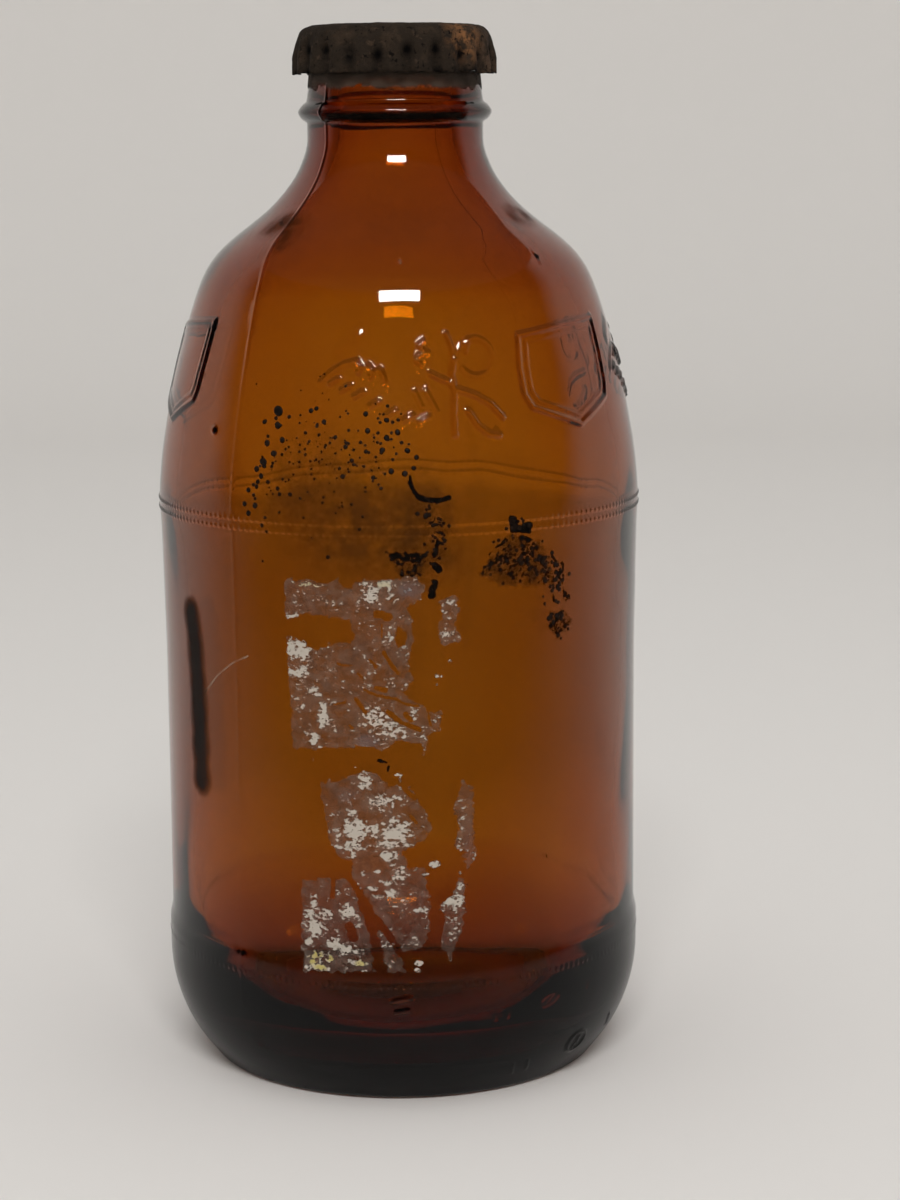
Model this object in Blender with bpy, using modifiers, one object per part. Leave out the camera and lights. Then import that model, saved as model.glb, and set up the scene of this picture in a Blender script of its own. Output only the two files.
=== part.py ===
"""Stubby amber soda bottle, with its crimped crown cap and the torn remains of its paper label.

Metres, +Z up. The origin is the middle of the bottle's base, on the surface that it stands on,
and the front of the label faces -Y.
"""

import math

import bmesh
import bpy

# Body of the bottle, from the base up
BEARING_INNER_RADIUS = 0.0246
BEARING_OUTER_RADIUS = 0.0272
PUSH_UP_HEIGHT = 0.0032
HEEL_HEIGHT = 0.0158
HEEL_INSET = 0.0066
FOOT_ROUNDING = 0.0012
RIDGE_RADIUS = 0.0344
RIDGE_WIDTH = 0.0044
RIDGE_STEP = 0.0014
PANEL_RADIUS = 0.0340
PANEL_HEIGHT = 0.0364
FLARE_HEIGHT = 0.0238
WAIST_RADIUS = 0.0346
SHOULDER_HEIGHT = 0.0512

# Neck and crown finish
NECK_RADIUS = 0.01245
NECK_BELOW_RING = 0.0015
RING_RADIUS = 0.0137
RING_HEIGHT = 0.0028
NECK_ABOVE_RING = 0.0042
LIP_RADIUS = 0.0131
LIP_HEIGHT = 0.0049
LIP_ROUNDING = 0.0012

# Thickness of the glass
BASE_THICKNESS = 0.0052
HEEL_THICKNESS = 0.0052
BODY_WALL = 0.0030
MOUTH_RADIUS = 0.0081

# Crown cap and its liner
CAP_HEIGHT = 0.0071
CAP_STEEL = 0.00035
CAP_TOP_ROUNDING = 0.0020
CAP_SKIRT_FLARE = 0.0005
FLUTES = 21
FLUTE_DEPTH = 0.0007
LINER_THICKNESS = 0.0008

# Paper label, and what is left of it
LABEL_PAPER = 0.0002
LABEL_MARGIN = 0.0002
LABEL_TOP_MARGIN = 0.0070

FIT_GAP = 0.0003
BOTTLE_SEGMENTS = 48
SEGMENTS_PER_FLUTE = 4
LABEL_ROWS = 28
MERGE_DISTANCE = 0.00001

# Heights that follow from the sizes above
RIDGE_BOTTOM = HEEL_HEIGHT
RIDGE_TOP = RIDGE_BOTTOM + RIDGE_WIDTH
PANEL_BOTTOM = RIDGE_TOP + RIDGE_STEP
PANEL_TOP = PANEL_BOTTOM + PANEL_HEIGHT
WAIST = PANEL_TOP + FLARE_HEIGHT
NECK_BOTTOM = WAIST + SHOULDER_HEIGHT
RING_BOTTOM = NECK_BOTTOM + NECK_BELOW_RING
RING_TOP = RING_BOTTOM + RING_HEIGHT
LIP_BOTTOM = RING_TOP + NECK_ABOVE_RING
LIP_TOP = LIP_BOTTOM + LIP_HEIGHT
LINER_BOTTOM = LIP_TOP + FIT_GAP
LINER_TOP = LINER_BOTTOM + LINER_THICKNESS
CAP_TOP = LINER_TOP + FIT_GAP + CAP_STEEL
CAP_BOTTOM = CAP_TOP - CAP_HEIGHT

# Radii that follow: the crimped skirt clears the lip, and the liner lies under the cap's flat top
CAP_RADIUS = LIP_RADIUS + FIT_GAP + CAP_STEEL + FLUTE_DEPTH
CAP_EDGE_RADIUS = CAP_RADIUS - CAP_SKIRT_FLARE
LINER_RADIUS = CAP_EDGE_RADIUS - CAP_TOP_ROUNDING

# The barrel-shaped shoulder: (share of its height, share of the way from waist to neck radius)
SHOULDER_SHAPE = (
    (0.00, 0.00), (0.10, 0.02), (0.22, 0.066), (0.33, 0.117), (0.45, 0.19), (0.55, 0.263),
    (0.63, 0.335), (0.69, 0.438), (0.73, 0.555), (0.765, 0.678), (0.80, 0.772), (0.85, 0.870),
    (0.91, 0.960), (1.00, 1.00),
)
# The panel swells to the waist: (share of the flare's height, share of the way to waist radius)
FLARE_SHAPE = ((0.00, 0.00), (0.40, 0.22), (0.75, 0.45), (0.88, 0.60), (0.94, 0.85), (1.00, 1.00))

# Outlines of the label's remains, on the flat sheet, in hundredths of its height:
# (across from the label's upright middle line, up from its bottom edge)
UPPER_REMNANT = (
    (-28, 98), (-18, 97), (-11, 95), (-7, 98), (4, 99), (7, 96), (2, 91), (4, 85), (2, 77),
    (1, 70), (5, 67), (10, 66), (10, 61), (6, 56), (0, 58), (-4, 57), (-16, 57), (-27, 56),
    (-27, 67), (-27, 83), (-22, 82), (-15, 81), (-10, 85), (-12, 89), (-20, 91), (-28, 89),
)
LOWER_REMNANT = (
    (-8, 50), (-2, 47), (3, 46), (6, 41), (8, 36), (5, 33), (1, 30), (6, 26), (7, 17), (6, 8),
    (1, 6), (-4, 13), (-8, 20), (-11, 24), (-11, 29), (-16, 33), (-18, 39), (-18, 46), (-13, 48),
)
CORNER_REMNANT = ((-25, 22), (-13, 23), (-10, 16), (-8, 10), (-7, 1), (-24, 1), (-25, 12))
SLIVER_REMNANT = ((-5, 11), (-2, 7), (1, 2), (-3, 1), (-4, 5))
TOP_STRIP = ((10, 92), (14, 95), (15, 91), (14, 87), (15, 83), (11, 82), (10, 86), (11, 89))
MIDDLE_STRIP = ((16, 48), (18, 46), (19, 37), (19, 29), (17, 26), (16, 30), (14, 32), (15, 37))
BOTTOM_STRIP = ((15, 23), (17, 21), (16, 17), (15, 9), (12, 3), (11, 7), (11, 13), (10, 17), (13, 19))


def collection(name):
    made = bpy.data.collections.new(name)
    bpy.context.scene.collection.children.link(made)
    return made


def material(name, colour, roughness, metallic=0.0, transmission=0.0):
    made = bpy.data.materials.new(name)
    made.use_nodes = True
    shader = made.node_tree.nodes["Principled BSDF"]
    shader.inputs["Base Color"].default_value = (*colour, 1.0)
    shader.inputs["Roughness"].default_value = roughness
    shader.inputs["Metallic"].default_value = metallic
    shader.inputs["Transmission Weight"].default_value = transmission
    made.diffuse_color = (*colour, 1.0)
    return made


def clear_scene():
    for thing in list(bpy.context.scene.objects):
        bpy.data.objects.remove(thing, do_unlink=True)


def add_object(name, mesh, group, finish=None):
    made = bpy.data.objects.new(name, mesh)
    group.objects.link(made)
    if finish:
        mesh.materials.append(finish)
    return made


def make_guide(thing):
    thing.hide_render = True
    thing.display_type = "WIRE"


def arc(centre, radii, start, end, steps):
    """Points on an ellipse in the profile's plane. Angles are in degrees from straight out."""
    line = []
    for step in range(steps + 1):
        angle = math.radians(start + (end - start) * step / steps)
        line.append((centre[0] + radii[0] * math.cos(angle), centre[1] + radii[1] * math.sin(angle)))
    return line


def between(low, high, share):
    return low + (high - low) * share


def shoulder_line():
    """The outside of the shoulder, from the waist up to the neck."""
    return [
        (between(WAIST_RADIUS, NECK_RADIUS, inward), between(WAIST, NECK_BOTTOM, up))
        for up, inward in SHOULDER_SHAPE
    ]


def flare_line():
    """The outside of the panel's upper end, from the straight panel up to the waist."""
    return [
        (between(PANEL_RADIUS, WAIST_RADIUS, outward), between(PANEL_TOP, WAIST, up))
        for up, outward in FLARE_SHAPE
    ]


def heel_line():
    """The outside of the heel, from the bearing ring up to the ridge, upright where it meets it."""
    curve = (HEEL_INSET**2 + HEEL_HEIGHT**2) / (2 * HEEL_INSET)
    centre = (RIDGE_RADIUS - curve, RIDGE_BOTTOM)
    lowest = math.degrees(math.asin((HEEL_HEIGHT - FOOT_ROUNDING) / curve))
    rise = arc(centre, (curve, curve), -lowest, 0, 7)
    foot = (between(BEARING_OUTER_RADIUS, rise[0][0], 0.6), 0.25 * FOOT_ROUNDING)
    return [(BEARING_OUTER_RADIUS, 0), foot, *rise]


def body_line():
    """The outside of the body and neck, from the bearing ring up to the neck ring."""
    ridge = [(RIDGE_RADIUS, RIDGE_TOP), (PANEL_RADIUS, PANEL_BOTTOM)]
    return [*heel_line(), *ridge, *flare_line(), *shoulder_line()[1:]]


def outer_radius(height):
    """The radius of the body's outside at a height."""
    line = body_line()
    for (r0, z0), (r1, z1) in zip(line, line[1:]):
        if z0 <= height <= z1 and z1 > z0:
            return between(r0, r1, (height - z0) / (z1 - z0))
    raise ValueError("height is not on the body")


def finish_line():
    """The outside of the neck ring and the crown finish, from the neck up to the lip's bore."""
    ring_middle = (RING_BOTTOM + RING_TOP) / 2
    ring_radii = (RING_RADIUS - NECK_RADIUS, RING_HEIGHT / 2)
    ring = arc((NECK_RADIUS, ring_middle), ring_radii, -90, 90, 6)
    lip_side = LIP_RADIUS - LIP_ROUNDING
    under = arc((lip_side, LIP_BOTTOM + LIP_ROUNDING), (LIP_ROUNDING, LIP_ROUNDING), -90, 0, 3)
    over = arc((lip_side, LIP_TOP - LIP_ROUNDING), (LIP_ROUNDING, LIP_ROUNDING), 0, 90, 4)
    mouth_centre = (MOUTH_RADIUS + LIP_ROUNDING, LIP_TOP - LIP_ROUNDING)
    mouth = arc(mouth_centre, (LIP_ROUNDING, LIP_ROUNDING), 90, 180, 3)
    return [*ring, *under, *over, *mouth]


def inside_line():
    """The inside of the bottle, from the foot of the bore down to the middle of the floor."""
    neck_wall = NECK_RADIUS - MOUTH_RADIUS
    outside = [(PANEL_RADIUS, PANEL_BOTTOM), *flare_line(), *shoulder_line()[1:]]
    inside = []
    for index, (radius, height) in enumerate(outside):
        before = outside[max(index - 1, 0)]
        after = outside[min(index + 1, len(outside) - 1)]
        run, rise = after[0] - before[0], after[1] - before[1]
        length = math.hypot(run, rise)
        up_shoulder = max(0.0, (height - WAIST) / SHOULDER_HEIGHT)
        wall = between(BODY_WALL, neck_wall, up_shoulder**3)
        inside.append((radius - wall * rise / length, height + wall * run / length))
    inside[0] = (PANEL_RADIUS - BODY_WALL, PANEL_BOTTOM)
    inside[-1] = (MOUTH_RADIUS, NECK_BOTTOM)
    floor = PUSH_UP_HEIGHT + BASE_THICKNESS
    bore = PANEL_RADIUS - BODY_WALL
    corner = arc((0.55 * bore, PANEL_BOTTOM), (0.45 * bore, PANEL_BOTTOM - HEEL_THICKNESS), 0, -80, 6)
    dome = (0.3 * bore, between(HEEL_THICKNESS, floor, 0.8))
    return [*reversed(inside), *corner[1:], dome, (0, floor)]


def turned(name, profile, segments, group, finish=None):
    """A solid of revolution. The profile runs down its outer side and starts and ends on the axis."""
    mesh = bpy.data.meshes.new(name)
    points = [(radius, 0, height) for radius, height in profile]
    mesh.from_pydata(points, [(i, i + 1) for i in range(len(points) - 1)], [])
    made = add_object(name, mesh, group, finish)
    screw = made.modifiers.new("Turn", "SCREW")
    screw.steps = screw.render_steps = segments
    screw.use_merge_vertices = True
    screw.merge_threshold = MERGE_DISTANCE
    screw.use_smooth_shade = True
    return made


def build_bottle(group):
    """One piece of moulded glass: heel, label panel, shoulder, neck with its ring, and crown finish."""
    push_up = arc((0, 0), (BEARING_INNER_RADIUS, PUSH_UP_HEIGHT), 0, 90, 5)
    outside = [*body_line(), *finish_line()]
    profile = [*reversed(inside_line()), *reversed(outside), *push_up]
    amber = material("amber_glass", (0.42, 0.16, 0.03), 0.05, transmission=1.0)
    return turned("glass_bottle", profile, BOTTLE_SEGMENTS, group, amber)


def build_cap(group):
    """The pressed steel crown: a flat top, a rounded edge and a skirt crimped in flutes."""
    skirt_top = CAP_TOP - CAP_TOP_ROUNDING
    edge_radii = (CAP_TOP_ROUNDING, CAP_TOP_ROUNDING)
    edge = arc((LINER_RADIUS, skirt_top), edge_radii, 90, 10, 4)
    skirt = [(CAP_RADIUS - FLUTE_DEPTH / 2, between(skirt_top, CAP_BOTTOM, share))
             for share in (0.3, 0.6, 1.0)]
    profile = [(0, CAP_TOP), *edge, *skirt]
    steps = FLUTES * SEGMENTS_PER_FLUTE
    rough = turned("crown_blank", profile, steps, group)
    graph = bpy.context.evaluated_depsgraph_get()
    mesh = bpy.data.meshes.new_from_object(rough.evaluated_get(graph))
    bpy.data.objects.remove(rough, do_unlink=True)
    mesh.name = "crown_cap"
    for vertex in mesh.vertices:
        x, y, z = vertex.co
        if z < skirt_top:
            depth = min(1.0, (skirt_top - z) / (0.6 * (skirt_top - CAP_BOTTOM)))
            wave = FLUTE_DEPTH / 2 * depth * math.cos(FLUTES * math.atan2(y, x))
            radius = math.hypot(x, y)
            vertex.co.x = x * (radius + wave) / radius
            vertex.co.y = y * (radius + wave) / radius
    steel = material("rusted_steel", (0.10, 0.055, 0.035), 0.85, metallic=0.3)
    made = add_object("crown_cap", mesh, group, steel)
    shell = made.modifiers.new("Steel", "SOLIDIFY")
    shell.thickness = CAP_STEEL
    shell.offset = -1
    shell.use_even_offset = True
    return made


def build_liner(group):
    """The sealing disc inside the crown, over the lip."""
    profile = [(0, LINER_TOP), (LINER_RADIUS, LINER_TOP), (LINER_RADIUS, LINER_BOTTOM), (0, LINER_BOTTOM)]
    grey = material("liner", (0.55, 0.50, 0.42), 0.7)
    made = turned("cap_liner", profile, BOTTLE_SEGMENTS // 2, group, grey)
    made.data.shade_flat()
    return made


def build_label_sleeve(group):
    """The whole label's paper, as a tube that follows the panel: what the remains are cut from."""
    bottom = RIDGE_TOP + LABEL_MARGIN
    top = WAIST - LABEL_TOP_MARGIN
    heights = [between(top, bottom, row / LABEL_ROWS) for row in range(LABEL_ROWS + 1)]
    profile = [(outer_radius(height) + FIT_GAP, height) for height in heights]
    sleeve = turned("label_sleeve", profile, 2 * BOTTLE_SEGMENTS, group)
    paper = sleeve.modifiers.new("Paper", "SOLIDIFY")
    paper.thickness = LABEL_PAPER
    paper.offset = 1
    make_guide(sleeve)
    return sleeve, bottom, top - bottom


def build_remnant(name, outline, sleeve, bottom, height, parts, finish):
    """One torn remnant: its outline pushed straight back through the front of the label sleeve."""
    radius = PANEL_RADIUS + FIT_GAP
    edge = []
    for across, up in outline:
        angle = across * height / 100 / radius
        edge.append((radius * math.sin(angle), bottom + up * height / 100))
    mesh = bpy.data.meshes.new(name)
    shape = bmesh.new()
    face = shape.faces.new([shape.verts.new((x, -2 * radius, z)) for x, z in edge])
    sides = bmesh.ops.extrude_face_region(shape, geom=[face])
    moved = [item for item in sides["geom"] if isinstance(item, bmesh.types.BMVert)]
    bmesh.ops.translate(shape, verts=moved, vec=(0, 1.5 * radius, 0))
    bmesh.ops.recalc_face_normals(shape, faces=shape.faces)
    shape.to_mesh(mesh)
    shape.free()
    made = add_object(name, mesh, parts, finish)
    cut = made.modifiers.new("From the label", "BOOLEAN")
    cut.operation = "INTERSECT"
    cut.object = sleeve
    return made


def build_label(parts, guides):
    sleeve, bottom, height = build_label_sleeve(guides)
    paper = material("label_paper", (0.30, 0.22, 0.19), 0.9)
    remains = {
        "label_upper": UPPER_REMNANT,
        "label_lower": LOWER_REMNANT,
        "label_corner": CORNER_REMNANT,
        "label_sliver": SLIVER_REMNANT,
        "label_strip_top": TOP_STRIP,
        "label_strip_middle": MIDDLE_STRIP,
        "label_strip_bottom": BOTTOM_STRIP,
    }
    for name, outline in remains.items():
        build_remnant(name, outline, sleeve, bottom, height, parts, paper)


clear_scene()
parts = collection("soda_bottle")
guides = collection("guides")
build_bottle(parts)
build_cap(parts)
build_liner(parts)
build_label(parts, guides)
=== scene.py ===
import math
import random

import bpy
import numpy as np
from mathutils import Matrix, Vector, noise


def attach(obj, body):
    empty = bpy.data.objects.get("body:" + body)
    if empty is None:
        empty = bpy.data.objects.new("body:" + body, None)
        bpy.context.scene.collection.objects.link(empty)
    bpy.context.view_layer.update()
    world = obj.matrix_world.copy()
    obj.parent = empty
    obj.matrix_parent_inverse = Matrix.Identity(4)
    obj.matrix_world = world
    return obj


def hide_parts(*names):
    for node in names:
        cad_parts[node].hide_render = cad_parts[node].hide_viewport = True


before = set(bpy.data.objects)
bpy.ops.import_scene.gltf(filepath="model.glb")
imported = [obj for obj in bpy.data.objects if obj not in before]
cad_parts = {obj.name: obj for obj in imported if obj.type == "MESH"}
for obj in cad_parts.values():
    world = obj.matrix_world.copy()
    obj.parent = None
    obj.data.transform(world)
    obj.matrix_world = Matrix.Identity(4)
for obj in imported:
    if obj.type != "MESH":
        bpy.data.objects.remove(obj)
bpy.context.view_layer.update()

MM = 0.001
scene = bpy.context.scene

# ---------------------------------------------------------------- helpers
# What the sections below share: making and editing a mesh, and mixing a material from
# blotches, masks and the three values stored at each point of a surface.


def deselect_all():
    if bpy.context.mode != "OBJECT":
        bpy.ops.object.mode_set(mode="OBJECT")
    bpy.ops.object.select_all(action="DESELECT")


def just_added(name):
    obj = bpy.context.object
    obj.name = name
    obj.data.name = name
    return obj


def places_of(obj):
    """The mesh's points as an array, in mm."""
    points = np.empty(len(obj.data.vertices) * 3)
    obj.data.vertices.foreach_get("co", points)
    return points.reshape(-1, 3) / MM


def move_to(obj, points):
    obj.data.vertices.foreach_set("co", (points * MM).ravel())
    obj.data.update()


def edit_faces(obj, chosen):
    """Start editing the mesh with just those faces selected."""
    deselect_all()
    bpy.context.view_layer.objects.active = obj
    bpy.ops.object.mode_set(mode="EDIT")
    bpy.ops.mesh.select_mode(type="FACE")
    bpy.ops.mesh.select_all(action="DESELECT")
    bpy.ops.object.mode_set(mode="OBJECT")
    obj.data.polygons.foreach_set("select", chosen)
    bpy.ops.object.mode_set(mode="EDIT")


def thicken(obj, thickness, offset):
    deselect_all()
    obj.select_set(True)
    bpy.context.view_layer.objects.active = obj
    wall = obj.modifiers.new("thickness", "SOLIDIFY")
    wall.thickness = thickness * MM
    wall.offset = offset
    bpy.ops.object.modifier_apply(modifier=wall.name)
    bpy.ops.object.shade_smooth()


def store_film(obj, first, second, third):
    """Keep three values at each point of the surface, for its material to read."""
    kept = obj.data.color_attributes.new(name="film", type="FLOAT_COLOR", domain="POINT")
    rows = np.column_stack([first, second, third, np.ones(len(first))])
    kept.data.foreach_set("color", rows.ravel())


def line_distance(u, v, line):
    """The distance from each point (u, v) to a line of straight pieces."""
    nearest = np.full(len(u), 1e9)
    for (u0, v0), (u1, v1) in zip(line[:-1], line[1:]):
        du, dv = u1 - u0, v1 - v0
        t = np.clip(((u - u0) * du + (v - v0) * dv) / (du * du + dv * dv + 1e-9), 0, 1)
        nearest = np.minimum(nearest, np.hypot(u - u0 - t * du, v - v0 - t * dv))
    return nearest


def plain_material(name, colour, roughness):
    made = bpy.data.materials.new(name)
    made.use_nodes = True
    shader = made.node_tree.nodes["Principled BSDF"]
    shader.inputs["Base Color"].default_value = (*colour, 1)
    shader.inputs["Roughness"].default_value = roughness
    return made


def blotch_group():
    """Irregular blotches: noise on the place given, cut off between two values."""
    group = bpy.data.node_groups.new("blotches", "ShaderNodeTree")
    add_socket = group.interface.new_socket
    add_socket(name="Place", in_out="INPUT", socket_type="NodeSocketVector")
    for name, start in (("Scale", 400), ("Detail", 4), ("From", 0.4), ("To", 0.6), ("Extra", 0)):
        socket = add_socket(name=name, in_out="INPUT", socket_type="NodeSocketFloat")
        socket.default_value = start
    add_socket(name="Mask", in_out="OUTPUT", socket_type="NodeSocketFloat")
    enter = group.nodes.new("NodeGroupInput").outputs
    leave = group.nodes.new("NodeGroupOutput").inputs
    cloud = group.nodes.new("ShaderNodeTexNoise")
    cloud.inputs["Roughness"].default_value = 0.62
    raised = group.nodes.new("ShaderNodeMath")
    mask = group.nodes.new("ShaderNodeMapRange")
    mask.interpolation_type = "SMOOTHSTEP"
    for out, into in (
        (enter["Place"], cloud.inputs["Vector"]), (enter["Scale"], cloud.inputs["Scale"]),
        (enter["Detail"], cloud.inputs["Detail"]), (cloud.outputs["Fac"], raised.inputs[0]),
        (enter["Extra"], raised.inputs[1]), (raised.outputs["Value"], mask.inputs["Value"]),
        (enter["From"], mask.inputs["From Min"]), (enter["To"], mask.inputs["From Max"]),
        (mask.outputs["Result"], leave["Mask"]),
    ):
        group.links.new(out, into)
    return group


blotches = blotch_group()


class Finish:
    """A material being mixed: its nodes, the place on the piece and the shader."""

    def __init__(self, name, colour, roughness, specular=0.5):
        self.material = plain_material(name, colour, roughness)
        self.nodes = self.material.node_tree.nodes
        self.links = self.material.node_tree.links
        self.shader = self.nodes["Principled BSDF"]
        self.shader.inputs["Specular IOR Level"].default_value = specular
        self.place = self.nodes.new("ShaderNodeTexCoord").outputs["Object"]
        self.colour = None

    def stretched(self, scale):
        mapping = self.nodes.new("ShaderNodeMapping")
        mapping.inputs["Scale"].default_value = scale
        self.links.new(self.place, mapping.inputs["Vector"])
        return mapping.outputs["Vector"]

    def blotch(self, scale, low, high, detail=4, extra=None, place=None):
        node = self.nodes.new("ShaderNodeGroup")
        node.node_tree = blotches
        self.links.new(self.place if place is None else place, node.inputs["Place"])
        for name, number in (("Scale", scale), ("Detail", detail), ("From", low), ("To", high)):
            node.inputs[name].default_value = number
        if extra is not None:
            self.links.new(extra, node.inputs["Extra"])
        return node.outputs["Mask"]

    def maths(self, operation, *values):
        node = self.nodes.new("ShaderNodeMath")
        node.operation = operation
        for value, socket in zip(values, node.inputs):
            if isinstance(value, (int, float)):
                socket.default_value = value
            else:
                self.links.new(value, socket)
        return node.outputs["Value"]

    def ranged(self, value, low, high, to_low=0.0, to_high=1.0, way="LINEAR"):
        node = self.nodes.new("ShaderNodeMapRange")
        node.interpolation_type = way
        for name, number in (
            ("From Min", low), ("From Max", high), ("To Min", to_low), ("To Max", to_high),
        ):
            node.inputs[name].default_value = number
        self.links.new(value, node.inputs["Value"])
        return node.outputs["Result"]

    def split_place(self):
        node = self.nodes.new("ShaderNodeSeparateXYZ")
        self.links.new(self.place, node.inputs["Vector"])
        return node.outputs

    def near(self, centre, inner, outer):
        """1 within inner mm of the centre and 0 beyond outer mm."""
        node = self.nodes.new("ShaderNodeVectorMath")
        node.operation = "DISTANCE"
        node.inputs[1].default_value = [part * MM for part in centre]
        self.links.new(self.place, node.inputs[0])
        return self.ranged(node.outputs["Value"], outer * MM, inner * MM)

    def film_values(self):
        """The three values stored at each point of the surface."""
        reader = self.nodes.new("ShaderNodeAttribute")
        reader.attribute_name = "film"
        parts = self.nodes.new("ShaderNodeSeparateColor")
        self.links.new(reader.outputs["Color"], parts.inputs["Color"])
        return parts.outputs["Red"], parts.outputs["Green"], parts.outputs["Blue"]

    def tint(self, colour, mask, other=None):
        """Lay the colour over what there is so far, where the mask, or both masks, let it."""
        node = self.nodes.new("ShaderNodeMix")
        node.data_type = "RGBA"
        node.inputs["A"].default_value = self.shader.inputs["Base Color"].default_value
        node.inputs["B"].default_value = (*colour, 1)
        if self.colour is not None:
            self.links.new(self.colour, node.inputs["A"])
        if other is not None:
            mask = self.maths("MULTIPLY", mask, other)
        self.links.new(mask, node.inputs["Factor"])
        self.colour = node.outputs["Result"]
        self.links.new(self.colour, self.shader.inputs["Base Color"])

    def rough(self, mask, low, high):
        self.links.new(self.ranged(mask, 0, 1, low, high), self.shader.inputs["Roughness"])

    def see_through(self, first, second):
        """How solid the surface is: the product of the two."""
        self.links.new(self.maths("MULTIPLY", first, second), self.shader.inputs["Alpha"])

    def bump(self, height, distance):
        node = self.nodes.new("ShaderNodeBump")
        node.inputs["Distance"].default_value = distance * MM
        self.links.new(height, node.inputs["Height"])
        self.links.new(node.outputs["Normal"], self.shader.inputs["Normal"])


# ---------------------------------------------------------------- camera
# The camera stands 0.40 m in front of the bottle, level with its neck, and looks a little
# down on it. It is held a shade off level.
CAMERA_PLACE = (0.00724, -0.400, 0.13547)
CAMERA_DOWN = math.radians(9.881)
CAMERA_ROLL = math.radians(-0.452)
CAMERA_LENS = 83.62

camera = bpy.data.objects.new("camera", bpy.data.cameras.new("camera"))
scene.collection.objects.link(camera)
camera.location = CAMERA_PLACE
camera.rotation_euler = (
    Matrix.Rotation(math.pi / 2 - CAMERA_DOWN, 4, "X") @ Matrix.Rotation(CAMERA_ROLL, 4, "Z")
).to_euler()
camera.data.sensor_width = 36
camera.data.lens = CAMERA_LENS
camera.data.clip_start = 0.01
scene.camera = camera
scene.view_settings.view_transform = "Standard"

# ---------------------------------------------------------------- studio
# A pale seamless sweep: a round floor that turns up into a wall on every side, with a soft box
# high in front of the bottle, a low lamp that nothing mirrors, and even pale light from above.
FLOOR_DROP = 0.0001
FLOOR_RADIUS = 0.80
COVE_RADIUS = 0.35
WALL_TOP = 1.10
COVE_STEPS = 8
FLOOR_COLOUR = (0.76, 0.735, 0.705)
SKY_COLOUR = (0.97, 0.985, 1.0)
SKY_STRENGTH = 0.72
# Painted shade: how dark the floor in front is painted where it is mirrored.
PAINTED_MIRROR_DARKNESS = 0.06
MIRRORED_SKY = 0.10
FRONT_LEAN = -0.4
FRONT_EDGE = (0.20, -0.20)
# The painted shadow behind the bottle: where it starts, where it ends and how dark it is.
PAINTED_SHADOW_NEAR = (0.07, 0.2)
PAINTED_SHADOW_FAR = (0.85, 0.45)
PAINTED_SHADOW_DEPTH = 0.44
SOFTBOX_SIZE = (0.44, 0.15)
SOFTBOX_DISTANCE = 1.2
SOFTBOX_UP = math.radians(40.5)
SOFTBOX_ROUND = math.radians(2.7)
SOFTBOX_AIM = (0.0, -0.028, 0.112)
SOFTBOX_POWER = 7.0
KEY_SIZE = (0.30, 0.16)
KEY_DISTANCE = 1.5
KEY_UP = math.radians(15)
KEY_AIM = (0.0, 0.0, 0.07)
KEY_POWER = 21.0

deselect_all()
bpy.ops.mesh.primitive_circle_add(
    vertices=96, radius=FLOOR_RADIUS, fill_type="NGON", location=(0, 0, -FLOOR_DROP)
)
sweep = just_added("studio_sweep")
bpy.ops.object.transform_apply(location=True, rotation=True, scale=True)
bpy.ops.object.mode_set(mode="EDIT")
bpy.ops.mesh.select_mode(type="EDGE")
bpy.ops.mesh.select_all(action="DESELECT")
bpy.ops.object.mode_set(mode="OBJECT")
for edge in sweep.data.edges:
    edge.select = True
bpy.ops.object.mode_set(mode="EDIT")
reach, height = FLOOR_RADIUS, 0.0
for step in range(1, COVE_STEPS + 2):
    turn = min(step / COVE_STEPS, 1) * math.pi / 2
    wanted = FLOOR_RADIUS + COVE_RADIUS * math.sin(turn)
    risen = COVE_RADIUS * (1 - math.cos(turn)) if step <= COVE_STEPS else WALL_TOP
    bpy.ops.mesh.extrude_edges_move(TRANSFORM_OT_translate={"value": (0, 0, risen - height)})
    bpy.ops.transform.resize(value=(wanted / reach, wanted / reach, 1), center_override=(0, 0, 0))
    reach, height = wanted, risen
bpy.ops.object.mode_set(mode="OBJECT")
bpy.ops.object.shade_smooth()


def mirrored_share(tree):
    """1 where the studio is a reflection, and 0 where it is seen straight or through glass."""
    ray = tree.nodes.new("ShaderNodeLightPath")
    share = tree.nodes.new("ShaderNodeMath")
    share.operation = "SUBTRACT"
    share.use_clamp = True
    tree.links.new(ray.outputs["Is Glossy Ray"], share.inputs[0])
    tree.links.new(ray.outputs["Is Transmission Ray"], share.inputs[1])
    return share.outputs["Value"]


# The floor in front is painted dark where it is mirrored, a painted reflection of a dark room,
# and a painted shadow of the bottle lies on the floor behind it, where it is seen through the
# glass.
pale = Finish("pale_sweep", FLOOR_COLOUR, 0.75, 0.0)
at = pale.split_place()
leaned = pale.maths("MULTIPLY_ADD", at["Z"], FRONT_LEAN, at["Y"])
front = pale.ranged(leaned, *FRONT_EDGE, way="SMOOTHSTEP")
painted_mirror_shade = pale.maths("MULTIPLY", front, mirrored_share(pale.material.node_tree))
near_edge = pale.ranged(at["Y"], *PAINTED_SHADOW_NEAR, way="SMOOTHSTEP")
far_edge = pale.ranged(at["Y"], *PAINTED_SHADOW_FAR, way="SMOOTHSTEP")
behind = pale.maths("MULTIPLY", near_edge, far_edge)
through = pale.nodes.new("ShaderNodeLightPath").outputs["Is Transmission Ray"]
shadow = pale.maths("MULTIPLY", pale.maths("MULTIPLY", behind, through), PAINTED_SHADOW_DEPTH)
painted_dimming = pale.maths("MAXIMUM", painted_mirror_shade, shadow)
pale.tint([PAINTED_MIRROR_DARKNESS * part for part in FLOOR_COLOUR], painted_dimming)
sweep.data.materials.append(pale.material)

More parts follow.
